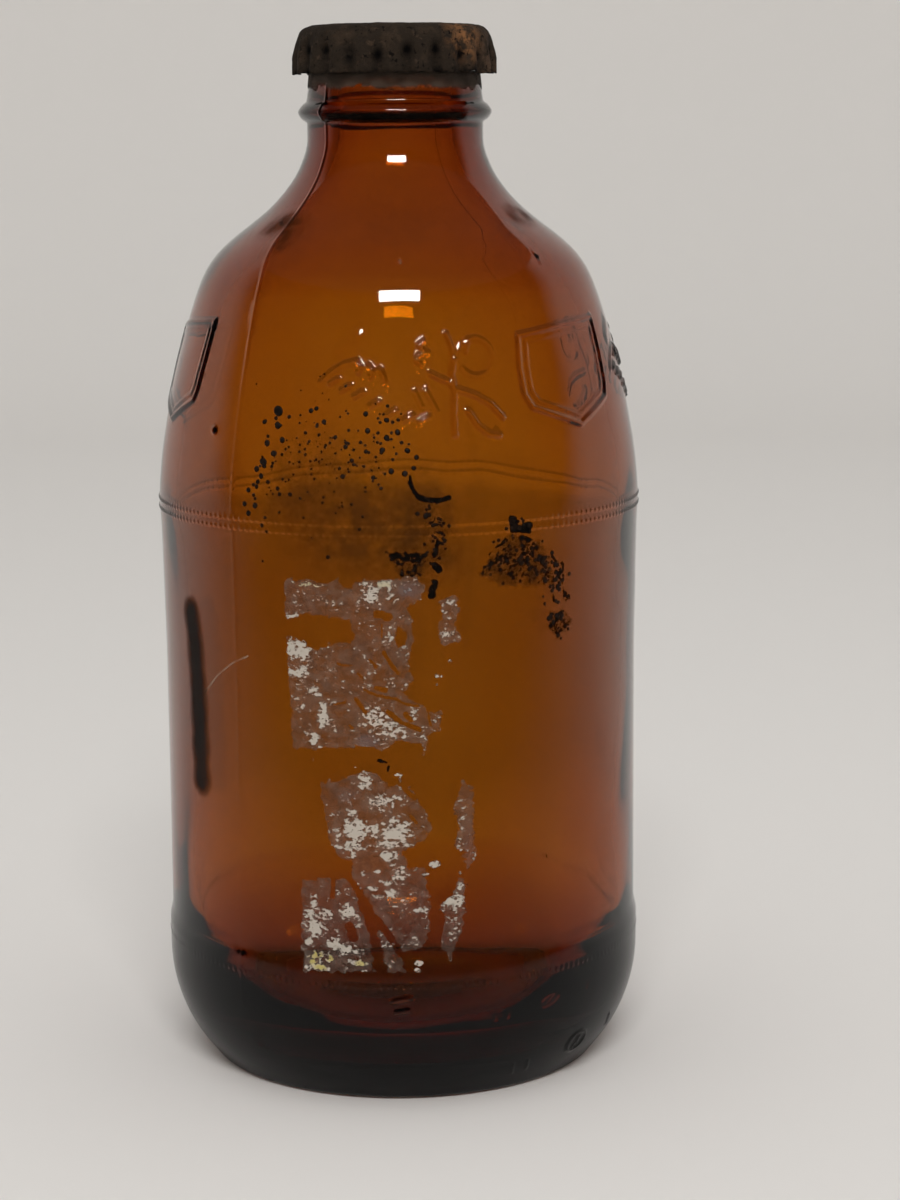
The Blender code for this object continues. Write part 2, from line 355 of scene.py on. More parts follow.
scene.world = bpy.data.worlds.new("studio_sky")
scene.world.use_nodes = True
nodes, links = scene.world.node_tree.nodes, scene.world.node_tree.links
sky = nodes["Background"]
sky.inputs["Color"].default_value = (*SKY_COLOUR, 1)
strength = nodes.new("ShaderNodeMapRange")
strength.inputs["To Min"].default_value = SKY_STRENGTH
strength.inputs["To Max"].default_value = SKY_STRENGTH * MIRRORED_SKY
links.new(mirrored_share(scene.world.node_tree), strength.inputs["Value"])
links.new(strength.outputs["Result"], sky.inputs["Strength"])


def add_softbox(name, size, power, aim, distance, up, turned_round):
    """A rectangular lamp that shines at aim from that far, at that height and round angle."""
    lamp = bpy.data.objects.new(name, bpy.data.lights.new(name, "AREA"))
    scene.collection.objects.link(lamp)
    lamp.data.shape = "RECTANGLE"
    lamp.data.size, lamp.data.size_y = size
    lamp.data.energy = power
    level = math.cos(up)
    back = Vector((math.sin(turned_round) * level, -math.cos(turned_round) * level, math.sin(up)))
    lamp.location = Vector(aim) + back * distance
    lamp.rotation_euler = back.to_track_quat("Z", "Y").to_euler()
    return lamp


add_softbox(
    "front_softbox", SOFTBOX_SIZE, SOFTBOX_POWER, SOFTBOX_AIM, SOFTBOX_DISTANCE,
    SOFTBOX_UP, SOFTBOX_ROUND,
)
key = add_softbox("low_front_lamp", KEY_SIZE, KEY_POWER, KEY_AIM, KEY_DISTANCE, KEY_UP, 0)
key.visible_glossy = False
key.visible_transmission = False

# ---------------------------------------------------------------- glass bottle
# One piece of clear amber glass, blown in a two-part iron mould: a heel on a flat bearing
# ring, a straight label panel, a dotted band round the waist, a barrel-shaped shoulder with a
# moulded sprig and shields, and a short neck with a ring and a crown finish.
SPIN_STEPS = 216
UNDERSIDE = [(0, 3.2), (12, 3.0), (20, 1.9), (23.4, 0.45), (24.6, 0), (27.2, 0), (28.24, 0.3)]
OUTSIDE = [
    (0.3, 28.24), (1.2, 28.93), (3, 30.33), (4.9, 31.55), (6.95, 32.56), (9.1, 33.36),
    (11.3, 33.94), (13.5, 34.28), (15.8, 34.4), (20.2, 34.4), (21.6, 34.0), (58, 34.0),
    (67.5, 34.13), (75.85, 34.27), (78.9, 34.36), (80.2, 34.44), (81.8, 34.46), (86.9, 34.12),
    (93.1, 33.14), (98.7, 32.01), (104.8, 30.39), (110, 28.77), (114.1, 27.18), (117.1, 24.9),
    (119.2, 22.31), (121, 19.58), (122.8, 17.5), (125.3, 15.33), (128.4, 13.34), (132.2, 12.45),
    (134.4, 12.45), (134.9, 13.15), (135.9, 13.7), (136.9, 13.15), (137.4, 12.5), (138.4, 12.35),
    (141.5, 11.9),
]
LIP = [
    (11.9, 141.5), (12.3, 141.9), (12.8, 142.3), (13.1, 143.0), (13.1, 144.6), (12.85, 145.5),
    (12.2, 146.15), (11.3, 146.4), (10.0, 146.4), (9.0, 146.1), (8.4, 145.5), (8.12, 144.5),
]
INSIDE = [
    (8.45, 25.38), (11.1, 27.74), (14.2, 29.52), (17.8, 30.62), (21.6, 31.0), (58, 31.0),
    (75.9, 31.27), (81.6, 31.6), (86.5, 31.18), (92.5, 30.17), (98, 29.04), (104, 27.39),
    (108.9, 25.73), (112.5, 24.24), (114.75, 22.4), (116.3, 20.24), (118.1, 17.43),
    (120.2, 14.86), (123, 12.25), (127, 9.57), (133, 8.1), (144, 8.1),
]
FLOOR_INSIDE = [(0, 8.4), (9.3, 7.8), (19.47, 5.45), (22.58, 6.5), (25.38, 8.45)]
RING_HEIGHTS = [
    (0.3, 2.0, 0.4), (2.0, 22.0, 0.9), (22.0, 78.0, 2.4), (78.0, 80.0, 0.7), (80.0, 82.6, 0.65),
    (82.6, 92.0, 1.3), (92.0, 109.0, 1.0), (109.0, 126.0, 1.0), (126.0, 134.2, 0.9),
    (134.2, 137.6, 0.28), (137.6, 141.5, 0.65),
]


def eased(stations, at):
    """The value at each place of at, on a smooth line through the stations with no overshoot."""
    x, y = np.array(stations, float).T
    gap = np.diff(x)
    rise = np.diff(y) / gap
    slope = np.zeros_like(y)
    turning = rise[:-1] * rise[1:] > 0
    slope[1:-1][turning] = 2 * (rise[:-1] * rise[1:])[turning] / (rise[:-1] + rise[1:])[turning]
    slope[0], slope[-1] = rise[0], rise[-1]
    at = np.asarray(at, float)
    i = np.clip(np.searchsorted(x, at, side="right") - 1, 0, len(gap) - 1)
    t = (at - x[i]) / gap[i]
    return (
        y[i] * (1 + 2 * t) * (1 - t) ** 2
        + gap[i] * slope[i] * t * (1 - t) ** 2
        + y[i + 1] * t**2 * (3 - 2 * t)
        + gap[i] * slope[i + 1] * t**2 * (t - 1)
    )


FINE_HEIGHTS = np.arange(0.3, 141.55, 0.1)
SMOOTHING_WIDTH = 1.6


def softened(radii, width, low, high):
    """The radii averaged over that width, between two heights, so that the glass flows."""
    reach = np.arange(-int(width * 30), int(width * 30) + 1) * 0.1
    weights = np.exp(-0.5 * (reach / width) ** 2)
    padded = np.pad(radii, len(reach) // 2, mode="edge")
    flowing = np.convolve(padded, weights / weights.sum(), mode="valid")
    share = np.clip((FINE_HEIGHTS - low) / 2, 0, 1) * np.clip((high - FINE_HEIGHTS) / 2, 0, 1)
    return radii + (flowing - radii) * share


fine_outside = softened(eased(OUTSIDE, FINE_HEIGHTS), SMOOTHING_WIDTH, 84, 131)
fine_outside = softened(fine_outside, 0.6, 1, 20)
fine_inside = softened(eased(INSIDE, np.clip(FINE_HEIGHTS, 8.45, 144)), SMOOTHING_WIDTH, 12, 132)


def outside_radius(z):
    return np.interp(z, FINE_HEIGHTS, fine_outside)


def inside_radius(z):
    return np.interp(z, FINE_HEIGHTS, fine_inside)


def turned(name, line, steps):
    """A closed solid turned round the bottle's axis from a line of (radius, height) in mm."""
    deselect_all()
    bpy.ops.mesh.primitive_plane_add(size=MM, location=(0, 0, 0))
    obj = just_added(name)
    bpy.ops.object.mode_set(mode="EDIT")
    bpy.ops.mesh.select_mode(type="VERT")
    bpy.ops.mesh.select_all(action="SELECT")
    bpy.ops.mesh.merge(type="CENTER")
    place = Vector((line[0][0] * MM, 0, line[0][1] * MM))
    bpy.ops.transform.translate(value=place)
    for radius, z in line[1:]:
        point = Vector((radius * MM, 0, z * MM))
        bpy.ops.mesh.extrude_vertices_move(TRANSFORM_OT_translate={"value": point - place})
        place = point
    bpy.ops.mesh.select_all(action="SELECT")
    bpy.ops.mesh.spin(steps=steps, angle=2 * math.pi, center=(0, 0, 0), axis=(0, 0, 1))
    bpy.ops.mesh.select_all(action="SELECT")
    bpy.ops.mesh.remove_doubles(threshold=0.00001)
    bpy.ops.mesh.normals_make_consistent(inside=False)
    bpy.ops.object.mode_set(mode="OBJECT")
    bpy.ops.object.shade_smooth()
    return obj


heights = np.concatenate([
    np.arange(low, high - step / 3, step) for low, high, step in RING_HEIGHTS
])
under_radii = np.concatenate([np.arange(0, 23, 2.3), np.arange(23, 28.2, 0.4)])
bore_heights = np.arange(143.5, 8.6, -2.2)
floor_radii = np.arange(25.38, 0, -1.6)
line = (
    [(r, z) for r, z in zip(under_radii, eased(UNDERSIDE, under_radii))]
    + [(r, z) for r, z in zip(outside_radius(heights), heights)]
    + LIP
    + [(r, z) for r, z in zip(inside_radius(bore_heights), bore_heights)]
    + [(r, z) for r, z in zip(floor_radii, eased(FLOOR_INSIDE, floor_radii))]
    + [(0, 8.4)]
)
glass = turned("amber_bottle", line, SPIN_STEPS)

WAVE_DEPTH, WAVES_FROM, WAVES_TO = 0.22, 9, 134
points = places_of(glass)
radii = np.hypot(points[:, 0], points[:, 1])
z = points[:, 2]
wall_inside = (z > WAVES_FROM) & (z < WAVES_TO) & (radii < inside_radius(z) + 0.3)
for index in np.flatnonzero(wall_inside):
    x, y, up = points[index]
    wave = noise.noise(Vector((x / 14, y / 14, up / 22)))
    wave += 0.5 * noise.noise(Vector((x / 6, y / 6, up / 12)))
    points[index, :2] *= 1 + wave * WAVE_DEPTH / radii[index]
move_to(glass, points)

# The mould's ornament stands a few tenths of a millimetre proud. Each stroke is
# (height, half width, [(degrees round from the front, height), ...]), in mm.
ORNAMENT_RADIUS, HEEL_RADIUS, STROKE_REACH = 31.0, 32, 16
SPRIG = [
    (0.50, 0.60, [(15.1, 103.4), (14.2, 101.6), (14.6, 99.4), (14.1, 96.5), (14.2, 93.6)]),
    (0.45, 0.50, [(9.0, 101.6), (11.5, 100.9), (13.4, 100.6), (14.6, 99.4)]),
    (0.40, 0.45, [(13.6, 106.8), (14.6, 105.2), (15.1, 103.4)]),
    (0.40, 0.55, [(15.4, 99.5), (19.5, 98.7), (23.5, 97.4), (26.3, 95.6)]),
    (0.40, 0.55, [(17.7, 96.6), (19.8, 94.7), (22.4, 93.5), (25.0, 93.3)]),
    (0.25, 0.45, [(5.0, 99.3), (6.6, 97.2)]),
    (0.25, 0.45, [(7.6, 99.5), (10.2, 96.6)]),
    (0.40, 0.45, [(7.6, 105.9), (6.3, 105.4), (7.4, 104.8)]),
    (0.40, 0.45, [(8.6, 104.4), (6.3, 104.1), (5.6, 103.4), (6.6, 102.9)]),
    (0.35, 0.45, [(19.2, 106.0), (18.2, 104.4)]),
    (0.45, 0.50, [(-9.0, 103.3), (-8.0, 102.5), (-8.6, 101.9)]),
    (0.45, 0.50, [(-6.0, 102.7), (-5.0, 101.9), (-5.6, 101.3)]),
    (0.45, 0.50, [(-3.2, 102.2), (-2.4, 101.2), (-2.0, 100.4)]),
    (0.22, 0.60, [(-18.0, 100.4), (-15.4, 101.8), (-12.3, 102.9), (-9.0, 103.3)]),
    (0.15, 1.40, [(-14.0, 104.6), (-9.5, 106.6)]),
]
LEAFLETS = [
    (-13.6, 100.9), (-10.5, 100.0), (-7.3, 99.2), (-3.5, 98.0), (0.4, 96.8), (4.3, 96.1),
    (8.1, 95.9),
]
FRUIT = (20.8, 103.6, 2.5)
SHIELD = [
    (-16.0, 106.2), (0.0, 107.2), (16.6, 107.8), (15.9, 103.0), (14.8, 98.4), (13.6, 97.0),
    (0.4, 93.8), (-14.6, 96.6), (-16.6, 98.4), (-16.9, 102.0), (-16.0, 106.2),
]
SHIELD_INNER = 0.86
SHIELD_TURNS = (49.5, -73.2)
SPRIG_TURNS = (0.0, 89.0)
STUDS = [
    (-56.8, 107.1, 0.7), (-48.2, 93.4, 0.7), (28.7, 69.9, 0.35), (2.1, 116.3, 0.35),
    (50.0, 116.4, 0.45),
]
HEEL_RING = (50.5, 5.6, 1.9)
HEEL_DASHES = [
    [(50.0, 4.6), (51.2, 6.8)], [(29.6, 4.4), (30.4, 3.0)], [(34.0, 4.6), (34.8, 3.2)],
    [(65.0, 7.4), (66.4, 5.6)], [(-1.6, 16.2), (2.0, 16.6)], [(-1.0, 14.6), (1.8, 14.9)],
]
SEAM = [(14, -40.3), (98, -40.3), (112.4, -41.2), (123.5, -47.9), (141, -49.5)]
SEAM_HEIGHT, SEAM_LOW_SHARE, SEAM_HALF_WIDTH = 0.13, 0.3, 0.32
WAIST_ROWS = [(80.65, 0.15, 0.36), (81.95, 0.15, 0.36), (18.2, 0.07, 0.40)]
DOTS_ROUND = SPIN_STEPS


def ringed(a, z, wide, tall, on_radius):
    """A ring of short strokes round a place on the glass."""
    round_it = [math.radians(15 * k) for k in range(25)]
    return [
        (a + math.degrees(wide * math.cos(t) / on_radius), z + tall * math.sin(t))
        for t in round_it
    ]


strokes = []
for turn in SPRIG_TURNS:
    strokes += [(high, wide, [(a + turn, z) for a, z in line]) for high, wide, line in SPRIG]
    for a, z in LEAFLETS:
        leaflet = [(a - 2.1 + turn, z - 0.55), (a - 0.6 + turn, z), (a + turn, z + 0.1)]
        strokes.append((0.42, 0.45, leaflet))
    a, z, r = FRUIT
    strokes.append((0.16, 0.6, ringed(a + turn, z, r, r, ORNAMENT_RADIUS)))
for turn in SHIELD_TURNS:
    strokes.append((0.32, 0.55, [(a + turn, z) for a, z in SHIELD]))
    strokes.append((0.16, 0.40, [
        (a * SHIELD_INNER + turn, 101.2 + (z - 101.2) * (SHIELD_INNER - 0.02)) for a, z in SHIELD
    ]))
for a, z, r in STUDS:
    strokes.append((0.45, r, [(a, z), (a + 0.01, z)]))
a, z, r = HEEL_RING
strokes.append((0.3, 0.4, ringed(a, z, r, 0.8 * r, HEEL_RADIUS)))
strokes += [(0.22, 0.38, line) for line in HEEL_DASHES]


def wrapped(degrees):
    return (np.asarray(degrees) + 180) % 360 - 180


def stroke_distance(line, degrees, z):
    """The distance in mm over the glass from each point to the stroke's line."""
    start = line[0][0]
    across = np.radians(wrapped(degrees - start)) * ORNAMENT_RADIUS
    flat = [(math.radians(a - start) * ORNAMENT_RADIUS, height) for a, height in line]
    return line_distance(across, z, flat)


def seam_distance(degrees, z):
    angle = eased(SEAM, np.clip(z, 14, 141))
    front = np.abs(wrapped(degrees - angle))
    back = np.abs(wrapped(degrees - (SEAM[0][1] + 180)))
    near = np.where((z > 13) & (z < 141.2), np.minimum(front, back), 90)
    return np.radians(near) * outside_radius(z)


def relief(degrees, z):
    """How far the mould's ornament stands out at each point of the outside, in mm."""
    height = np.zeros(len(z))
    for high, wide, line in strokes:
        near = np.abs(z - line[0][1]) < STROKE_REACH
        d = stroke_distance(line, degrees[near], z[near]) / wide
        height[near] = np.maximum(height[near], high * np.clip(1 - d * d, 0, 1) ** 1.5)
    d = seam_distance(degrees, z) / SEAM_HALF_WIDTH
    proud = SEAM_HEIGHT * (SEAM_LOW_SHARE + (1 - SEAM_LOW_SHARE) * np.clip((z - 98) / 8, 0, 1))
    height = np.maximum(height, proud * np.clip(1 - d * d, 0, 1))
    phase = (degrees * DOTS_ROUND / 360) % 1
    for row, high, wide in WAIST_ROWS:
        dots = np.sin(math.pi * phase) ** 4 * np.clip(1 - ((z - row) / wide) ** 2, 0, 1)
        height = np.maximum(height, high * dots)
    return height


def polar(points):
    """Degrees round from the front, radius and height of each point, in mm."""
    return (
        np.degrees(np.arctan2(points[:, 0], -points[:, 1])),
        np.hypot(points[:, 0], points[:, 1]),
        points[:, 2],
    )


def on_outside(radii, z):
    middle = (outside_radius(z) + inside_radius(z)) / 2
    return (z > 0.35) & (z < 141.3) & (radii > middle)


def face_centres(obj):
    centres = np.empty(len(obj.data.polygons) * 3)
    obj.data.polygons.foreach_get("center", centres)
    return centres.reshape(-1, 3) / MM


FINE_MARGIN, FINE_SEAM, FINE_ROW = 0.55, 0.75, 0.66
degrees, radii, z = polar(face_centres(glass))
outer = on_outside(radii, z)
carved = np.zeros(len(z), bool)
for high, wide, line in strokes:
    near = outer & (np.abs(z - line[0][1]) < STROKE_REACH)
    carved[near] |= stroke_distance(line, degrees[near], z[near]) < wide + FINE_MARGIN
carved |= outer & (seam_distance(degrees, z) < FINE_SEAM)
for row, high, wide in WAIST_ROWS:
    carved |= outer & (np.abs(z - row) < FINE_ROW)
edit_faces(glass, carved)
bpy.ops.mesh.subdivide(number_cuts=3)
bpy.ops.object.mode_set(mode="OBJECT")

points = places_of(glass)
degrees, radii, z = polar(points)
outer = on_outside(radii, z)
wanted = outside_radius(z[outer]) + relief(degrees[outer], z[outer])
points[outer, :2] *= (wanted / radii[outer])[:, None]
move_to(glass, points)

AMBER = (0.85, 0.64, 0.0)
AMBER_DEPTH = 1000.0
amber = plain_material("amber_glass", (1, 1, 1), 0.02)
shader = amber.node_tree.nodes["Principled BSDF"]
shader.inputs["Transmission Weight"].default_value = 1.0
shader.inputs["IOR"].default_value = 1.52
soak = amber.node_tree.nodes.new("ShaderNodeVolumeAbsorption")
soak.inputs["Color"].default_value = (*AMBER, 1)
soak.inputs["Density"].default_value = AMBER_DEPTH
amber.node_tree.links.new(
    soak.outputs["Volume"], amber.node_tree.nodes["Material Output"].inputs["Volume"]
)
glass.data.materials.clear()
glass.data.materials.append(amber)
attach(glass, "bottle")
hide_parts("glass_bottle")

# ---------------------------------------------------------------- crown cap
# A crown pressed from thin tinplate and crimped down over the lip in 21 flutes. It has rusted
# through and through: dark scale on its skirt, browner rust on top, and a fresher orange patch
# on its front edge.
# Painted shade darkens the flute valleys, and the pits between the flutes most.
FLUTES = 21
STEPS_PER_FLUTE = 12
CAP_LINE = [
    (0, 148.04), (4, 148.04), (8, 148.0), (10.6, 147.96), (11.9, 147.84), (12.7, 147.55),
    (13.25, 147.05), (13.6, 146.3), (13.78, 145.4), (13.86, 144.4), (13.92, 143.2),
    (13.98, 142.2), (14.0, 141.25),
]
CAP_STEP = 0.33
STEEL = 0.2
CREST, VALLEY = 0.42, 0.46
FLUTES_START, FLUTES_FULL = 146.6, 143.2
PIT_HEIGHT, PIT_TALL, PIT_DEPTH = 143.9, 0.75, 0.16
RUST_LUMPS = [(2.2, 0.15), (0.9, 0.08), (0.45, 0.04)]
RAGGED_EDGE = 0.35
CAP_LOWEST, CAP_WIDEST, CAP_HIGHEST = 141.06, 14.43, 148.13

stations = np.array(CAP_LINE)
lengths = np.concatenate([[0], np.cumsum(np.hypot(*np.diff(stations, axis=0).T))])
along = np.linspace(0, lengths[-1], int(lengths[-1] / CAP_STEP))
line = list(zip(*(np.interp(along, lengths, part) for part in stations.T)))
crown = turned("rusted_crown", line, FLUTES * STEPS_PER_FLUTE)
if np.mean([face.normal.z for face in crown.data.polygons if face.center.z > 0.1475]) < 0:
    bpy.ops.object.mode_set(mode="EDIT")
    bpy.ops.mesh.select_all(action="SELECT")
    bpy.ops.mesh.flip_normals()
    bpy.ops.object.mode_set(mode="OBJECT")

points = places_of(crown)
degrees, radii, z = polar(points)
fluted = np.clip((FLUTES_START - z) / (FLUTES_START - FLUTES_FULL), 0, 1)
fluted = fluted * fluted * (3 - 2 * fluted)
wave = np.cos(np.radians(degrees) * FLUTES)
valley = np.clip(-wave, 0, 1)
out = fluted * (CREST * np.clip(wave, 0, 1) - VALLEY * valley)
above_pits = z - PIT_HEIGHT - 0.5 * np.sin(np.radians(degrees) * 5)
pit = valley**2 * np.exp(-((above_pits / PIT_TALL) ** 2))
out -= PIT_DEPTH * pit
for index in range(len(points)):
    place = Vector(points[index])
    lump = sum(deep * noise.noise(place / size) for size, deep in RUST_LUMPS)
    edge = RAGGED_EDGE * noise.noise(place / 1.3) * float(np.clip((142.6 - z[index]) / 1.2, 0, 1))
    if radii[index] > 0.01:
        skirt = float(np.clip((147.6 - z[index]) / 1.5, 0, 1))
        points[index, :2] *= 1 + (out[index] + lump * skirt) / radii[index]
        points[index, 2] += lump * (1 - skirt) * 0.45 + edge
radii = np.hypot(points[:, 0], points[:, 1])
wide = radii > CAP_WIDEST
points[wide, :2] *= (CAP_WIDEST / radii[wide])[:, None]
points[:, 2] = np.clip(points[:, 2], CAP_LOWEST, CAP_HIGHEST)
move_to(crown, points)
under = np.clip(142.3 - points[:, 2], 0, 1)
# The first and third values kept are painted shade, in the pits and in the flute valleys.
store_film(crown, np.clip(pit * 1.3, 0, 1), under, valley * fluted)
thicken(crown, STEEL, -1)

rust = Finish("rusted_steel", (0.0215, 0.0150, 0.0100), 0.92, 0.1)
pit_shade, lower_edge, valley_shade = rust.film_values()
fresh_side = rust.near((13.2, -5.5, 143.5), 1.5, 8.0)
fresh_front = rust.near((9.9, -9.0, 146.0), 0.6, 4.4)
top = rust.near((0, 0, 148), 9.0, 13.0)
rust.tint((0.0350, 0.0230, 0.0145), rust.blotch(330, 0.46, 0.66, 6))
rust.tint((0.052, 0.033, 0.021), rust.blotch(900, 0.56, 0.70, 5))
rust.tint((0.07, 0.042, 0.026), fresh_side, rust.blotch(500, 0.38, 0.62, 5))
rust.tint((0.20, 0.088, 0.034), fresh_front, rust.blotch(650, 0.40, 0.58, 6))
rust.tint((0.060, 0.036, 0.020), top, rust.blotch(300, 0.40, 0.62, 5))
rust.tint((0.004, 0.003, 0.002), rust.blotch(1500, 0.60, 0.66, 3))
# Painted shade in the flute valleys, and darker painted shade in the pits.
rust.tint((0.006, 0.004, 0.0025), valley_shade, 0.45)
rust.tint((0.0012, 0.0008, 0.0006), pit_shade, rust.blotch(420, 0.35, 0.5, 3))
rust.tint((0.002, 0.0013, 0.001), lower_edge, rust.blotch(380, 0.48, 0.6, 4))
rust.rough(rust.blotch(600, 0.3, 0.7), 0.82, 1.0)
rust.bump(rust.blotch(1300, 0.3, 0.7, 6), 0.16)
crown.data.materials.clear()
crown.data.materials.append(rust.material)
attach(crown, "cap")
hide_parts("crown_cap")

# ---------------------------------------------------------------- cap liner
# The sealing disc of soft composition under the crown, pressed on the lip. Nothing of it shows
# until the cap is off. It is off white, with rust that has crept in from its edge.
LINER_RUST_FROM, LINER_RUST_TO = 0.0096, 0.0120
liner = Finish("liner_composition", (0.50, 0.44, 0.35), 0.7)
liner.tint((0.36, 0.27, 0.18), liner.blotch(260, 0.45, 0.70, 5))
rim = liner.nodes.new("ShaderNodeVectorMath")
rim.operation = "LENGTH"
liner.links.new(liner.stretched((1, 1, 0)), rim.inputs[0])
edge_of_liner = liner.ranged(rim.outputs["Value"], LINER_RUST_FROM, LINER_RUST_TO)
liner.tint((0.16, 0.075, 0.03), edge_of_liner, liner.blotch(500, 0.3, 0.6, 5))
liner.bump(liner.blotch(900, 0.3, 0.7, 4), 0.05)
liner_node = bpy.data.objects["cap_liner"]
for slot in liner_node.material_slots:
    slot.material = liner.material

# ---------------------------------------------------------------- paper label
# One printed paper label was glued on the panel. Seven remnants of it are left: a thin
# grey-brown film of glue and paper, with pale cream fibres where more of the paper survives.
PANEL = 34.0
PAPER_STEP = 0.2
PAPER_LIFT, PAPER_THICK = 0.12, 0.07
UPPER = [
    (-15.2, 73.9), (-12.6, 74.3), (-9.8, 73.7), (-7.8, 74.4), (-6.3, 73.1), (-4, 74.5),
    (0.3, 74.7), (2.3, 74.9), (3.8, 73.6), (3.2, 71.9), (1.3, 71.2), (2.1, 68.5), (2.2, 66.4),
    (1.3, 63), (2, 60.9), (0.7, 59.1), (2.5, 57.8), (4.2, 56.4), (5.8, 56.5), (5.7, 54),
    (4, 53.5), (3.6, 51), (3.1, 52.3), (0.2, 52.6), (-2.1, 51.4), (-5.1, 52), (-9, 51.6),
    (-14.6, 51), (-14.6, 56.3), (-14.9, 59), (-15, 66.3), (-13.2, 65.9), (-11, 64.6),
    (-8.2, 65.9), (-6.1, 65.6), (-5.3, 67.2), (-6.2, 69.1), (-8.7, 69.5), (-11.9, 69.8),
    (-15.2, 68.8),
]
LOWER = [
    (-4.4, 48.3), (-2.8, 47.9), (-1.2, 46.3), (1.5, 46.1), (3.4, 43.2), (4.6, 40.4), (3.4, 38.8),
    (0.4, 37.3), (1.2, 34.9), (3.4, 34.6), (4.1, 29.6), (3.9, 25.9), (2.9, 23.9), (0.7, 23.4),
    (-1, 25.8), (-2.6, 27.8), (-4.5, 31.2), (-6.3, 33.4), (-6.1, 35.6), (-8.1, 36.7),
    (-9.3, 38.6), (-9.8, 41.8), (-10.6, 46.2), (-7.5, 47),
]
CORNER = [
    (-13.3, 32.5), (-9.8, 33.2), (-7.1, 33.1), (-6.1, 31.4), (-5.4, 28.8), (-4.4, 26), (-3.8, 22),
    (-3.6, 20.6), (-13.3, 20), (-13.6, 27.4),
]
SLIVER = [
    (-3, 26.6), (-1.1, 24), (0.1, 21.6), (0.7, 20.4), (-1.5, 20.6), (-2.1, 23),
]
STRIP_TOP = [
    (5.8, 71.3), (7.9, 72.4), (8.3, 70), (7.7, 68.5), (8.5, 66.2), (6.4, 65.5), (5.6, 67.7),
    (6.4, 69.7),
]
STRIP_MIDDLE = [
    (8.8, 46.6), (10, 45.7), (10.2, 40.6), (10.5, 36), (9.4, 34.5), (9, 36.7), (7.7, 37.8),
    (8.4, 40.2), (7.8, 43.2),
]
STRIP_BOTTOM = [
    (8.4, 32.9), (9.1, 32.1), (8.9, 29.7), (8.5, 25.7), (7, 23.1), (7, 21.7), (5.8, 24),
    (6.3, 27.8), (5.7, 29.5), (7.3, 30.8),
]
# Fibre patches are (along the panel, height, half width, half height, how much), in mm.
UPPER_FIBRES = [
    (-12.1, 73.6, 2.3, 0.5, 0.6), (-6.8, 72.7, 0.5, 0.3, 0.7), (-3.1, 72.6, 1.3, 1.2, 0.8),
    (-1.5, 73.8, 1.3, 0.6, 0.75), (-5, 71.1, 0.5, 0.8, 0.6), (-0.8, 72.3, 1, 1.1, 0.5),
    (1.9, 73.2, 1.4, 1.2, 0.55), (3.6, 72.6, 0.3, 0.6, 0.7), (-14.4, 69.2, 0.7, 0.25, 0.9),
    (-13.5, 64.6, 1.2, 0.8, 1.4), (-14.3, 66.1, 0.35, 0.3, 0.8), (-12.6, 62.6, 0.8, 0.9, 0.75),
    (-13.6, 61.4, 1, 0.35, 1.3), (-13.1, 60.2, 0.8, 0.5, 0.55), (-11.5, 59.3, 0.7, 0.4, 0.9),
    (-13.7, 59.3, 0.3, 0.25, 0.9), (-10.7, 58.7, 0.5, 0.2, 1.0), (-13.1, 56.8, 0.4, 0.5, 0.7),
    (-14, 57.9, 0.25, 0.3, 0.8), (-10.1, 56.7, 0.45, 0.7, 1.1), (-10, 55.5, 0.7, 0.7, 1.2),
    (-10.4, 54.4, 0.4, 0.3, 1.1), (-11.4, 52.5, 0.45, 0.8, 1.1), (-10.6, 51.4, 0.25, 0.25, 1.1),
    (-9.4, 51.9, 0.3, 0.25, 0.7), (-12.6, 52.1, 0.4, 0.6, 0.4), (-9.4, 62.6, 0.7, 0.6, 0.55),
    (-3.5, 62, 0.8, 0.7, 0.6), (-0.8, 67.4, 0.8, 1.3, 0.65), (-1.3, 66, 0.5, 0.7, 0.6),
    (1.5, 69.3, 1, 1, 0.35), (-2.5, 65, 0.7, 0.6, 0.5), (1.1, 64.3, 0.6, 1.2, 0.5),
    (-1, 60.4, 0.7, 0.7, 0.6), (1.1, 60.2, 0.6, 0.5, 0.55), (-2.7, 55.7, 1.6, 1.6, 0.8),
    (-1, 54.3, 1.9, 1.2, 0.8), (-3, 57.4, 1.2, 0.8, 0.4), (-3.4, 52.6, 1.7, 1, 0.55),
    (-2.3, 51.8, 1.5, 0.7, 0.6), (0.9, 53.5, 1.3, 0.9, 0.6), (2.3, 56.3, 0.7, 1, 0.65),
    (3.6, 53.1, 0.4, 1.2, 0.65), (3.7, 51.3, 0.2, 0.8, 0.7), (4.7, 53.9, 0.5, 0.5, 0.6),
    (5.1, 56, 0.5, 1.1, 0.65), (-5, 56.1, 0.5, 0.5, 0.55), (-8.8, 57.6, 0.4, 0.4, 0.5),
]
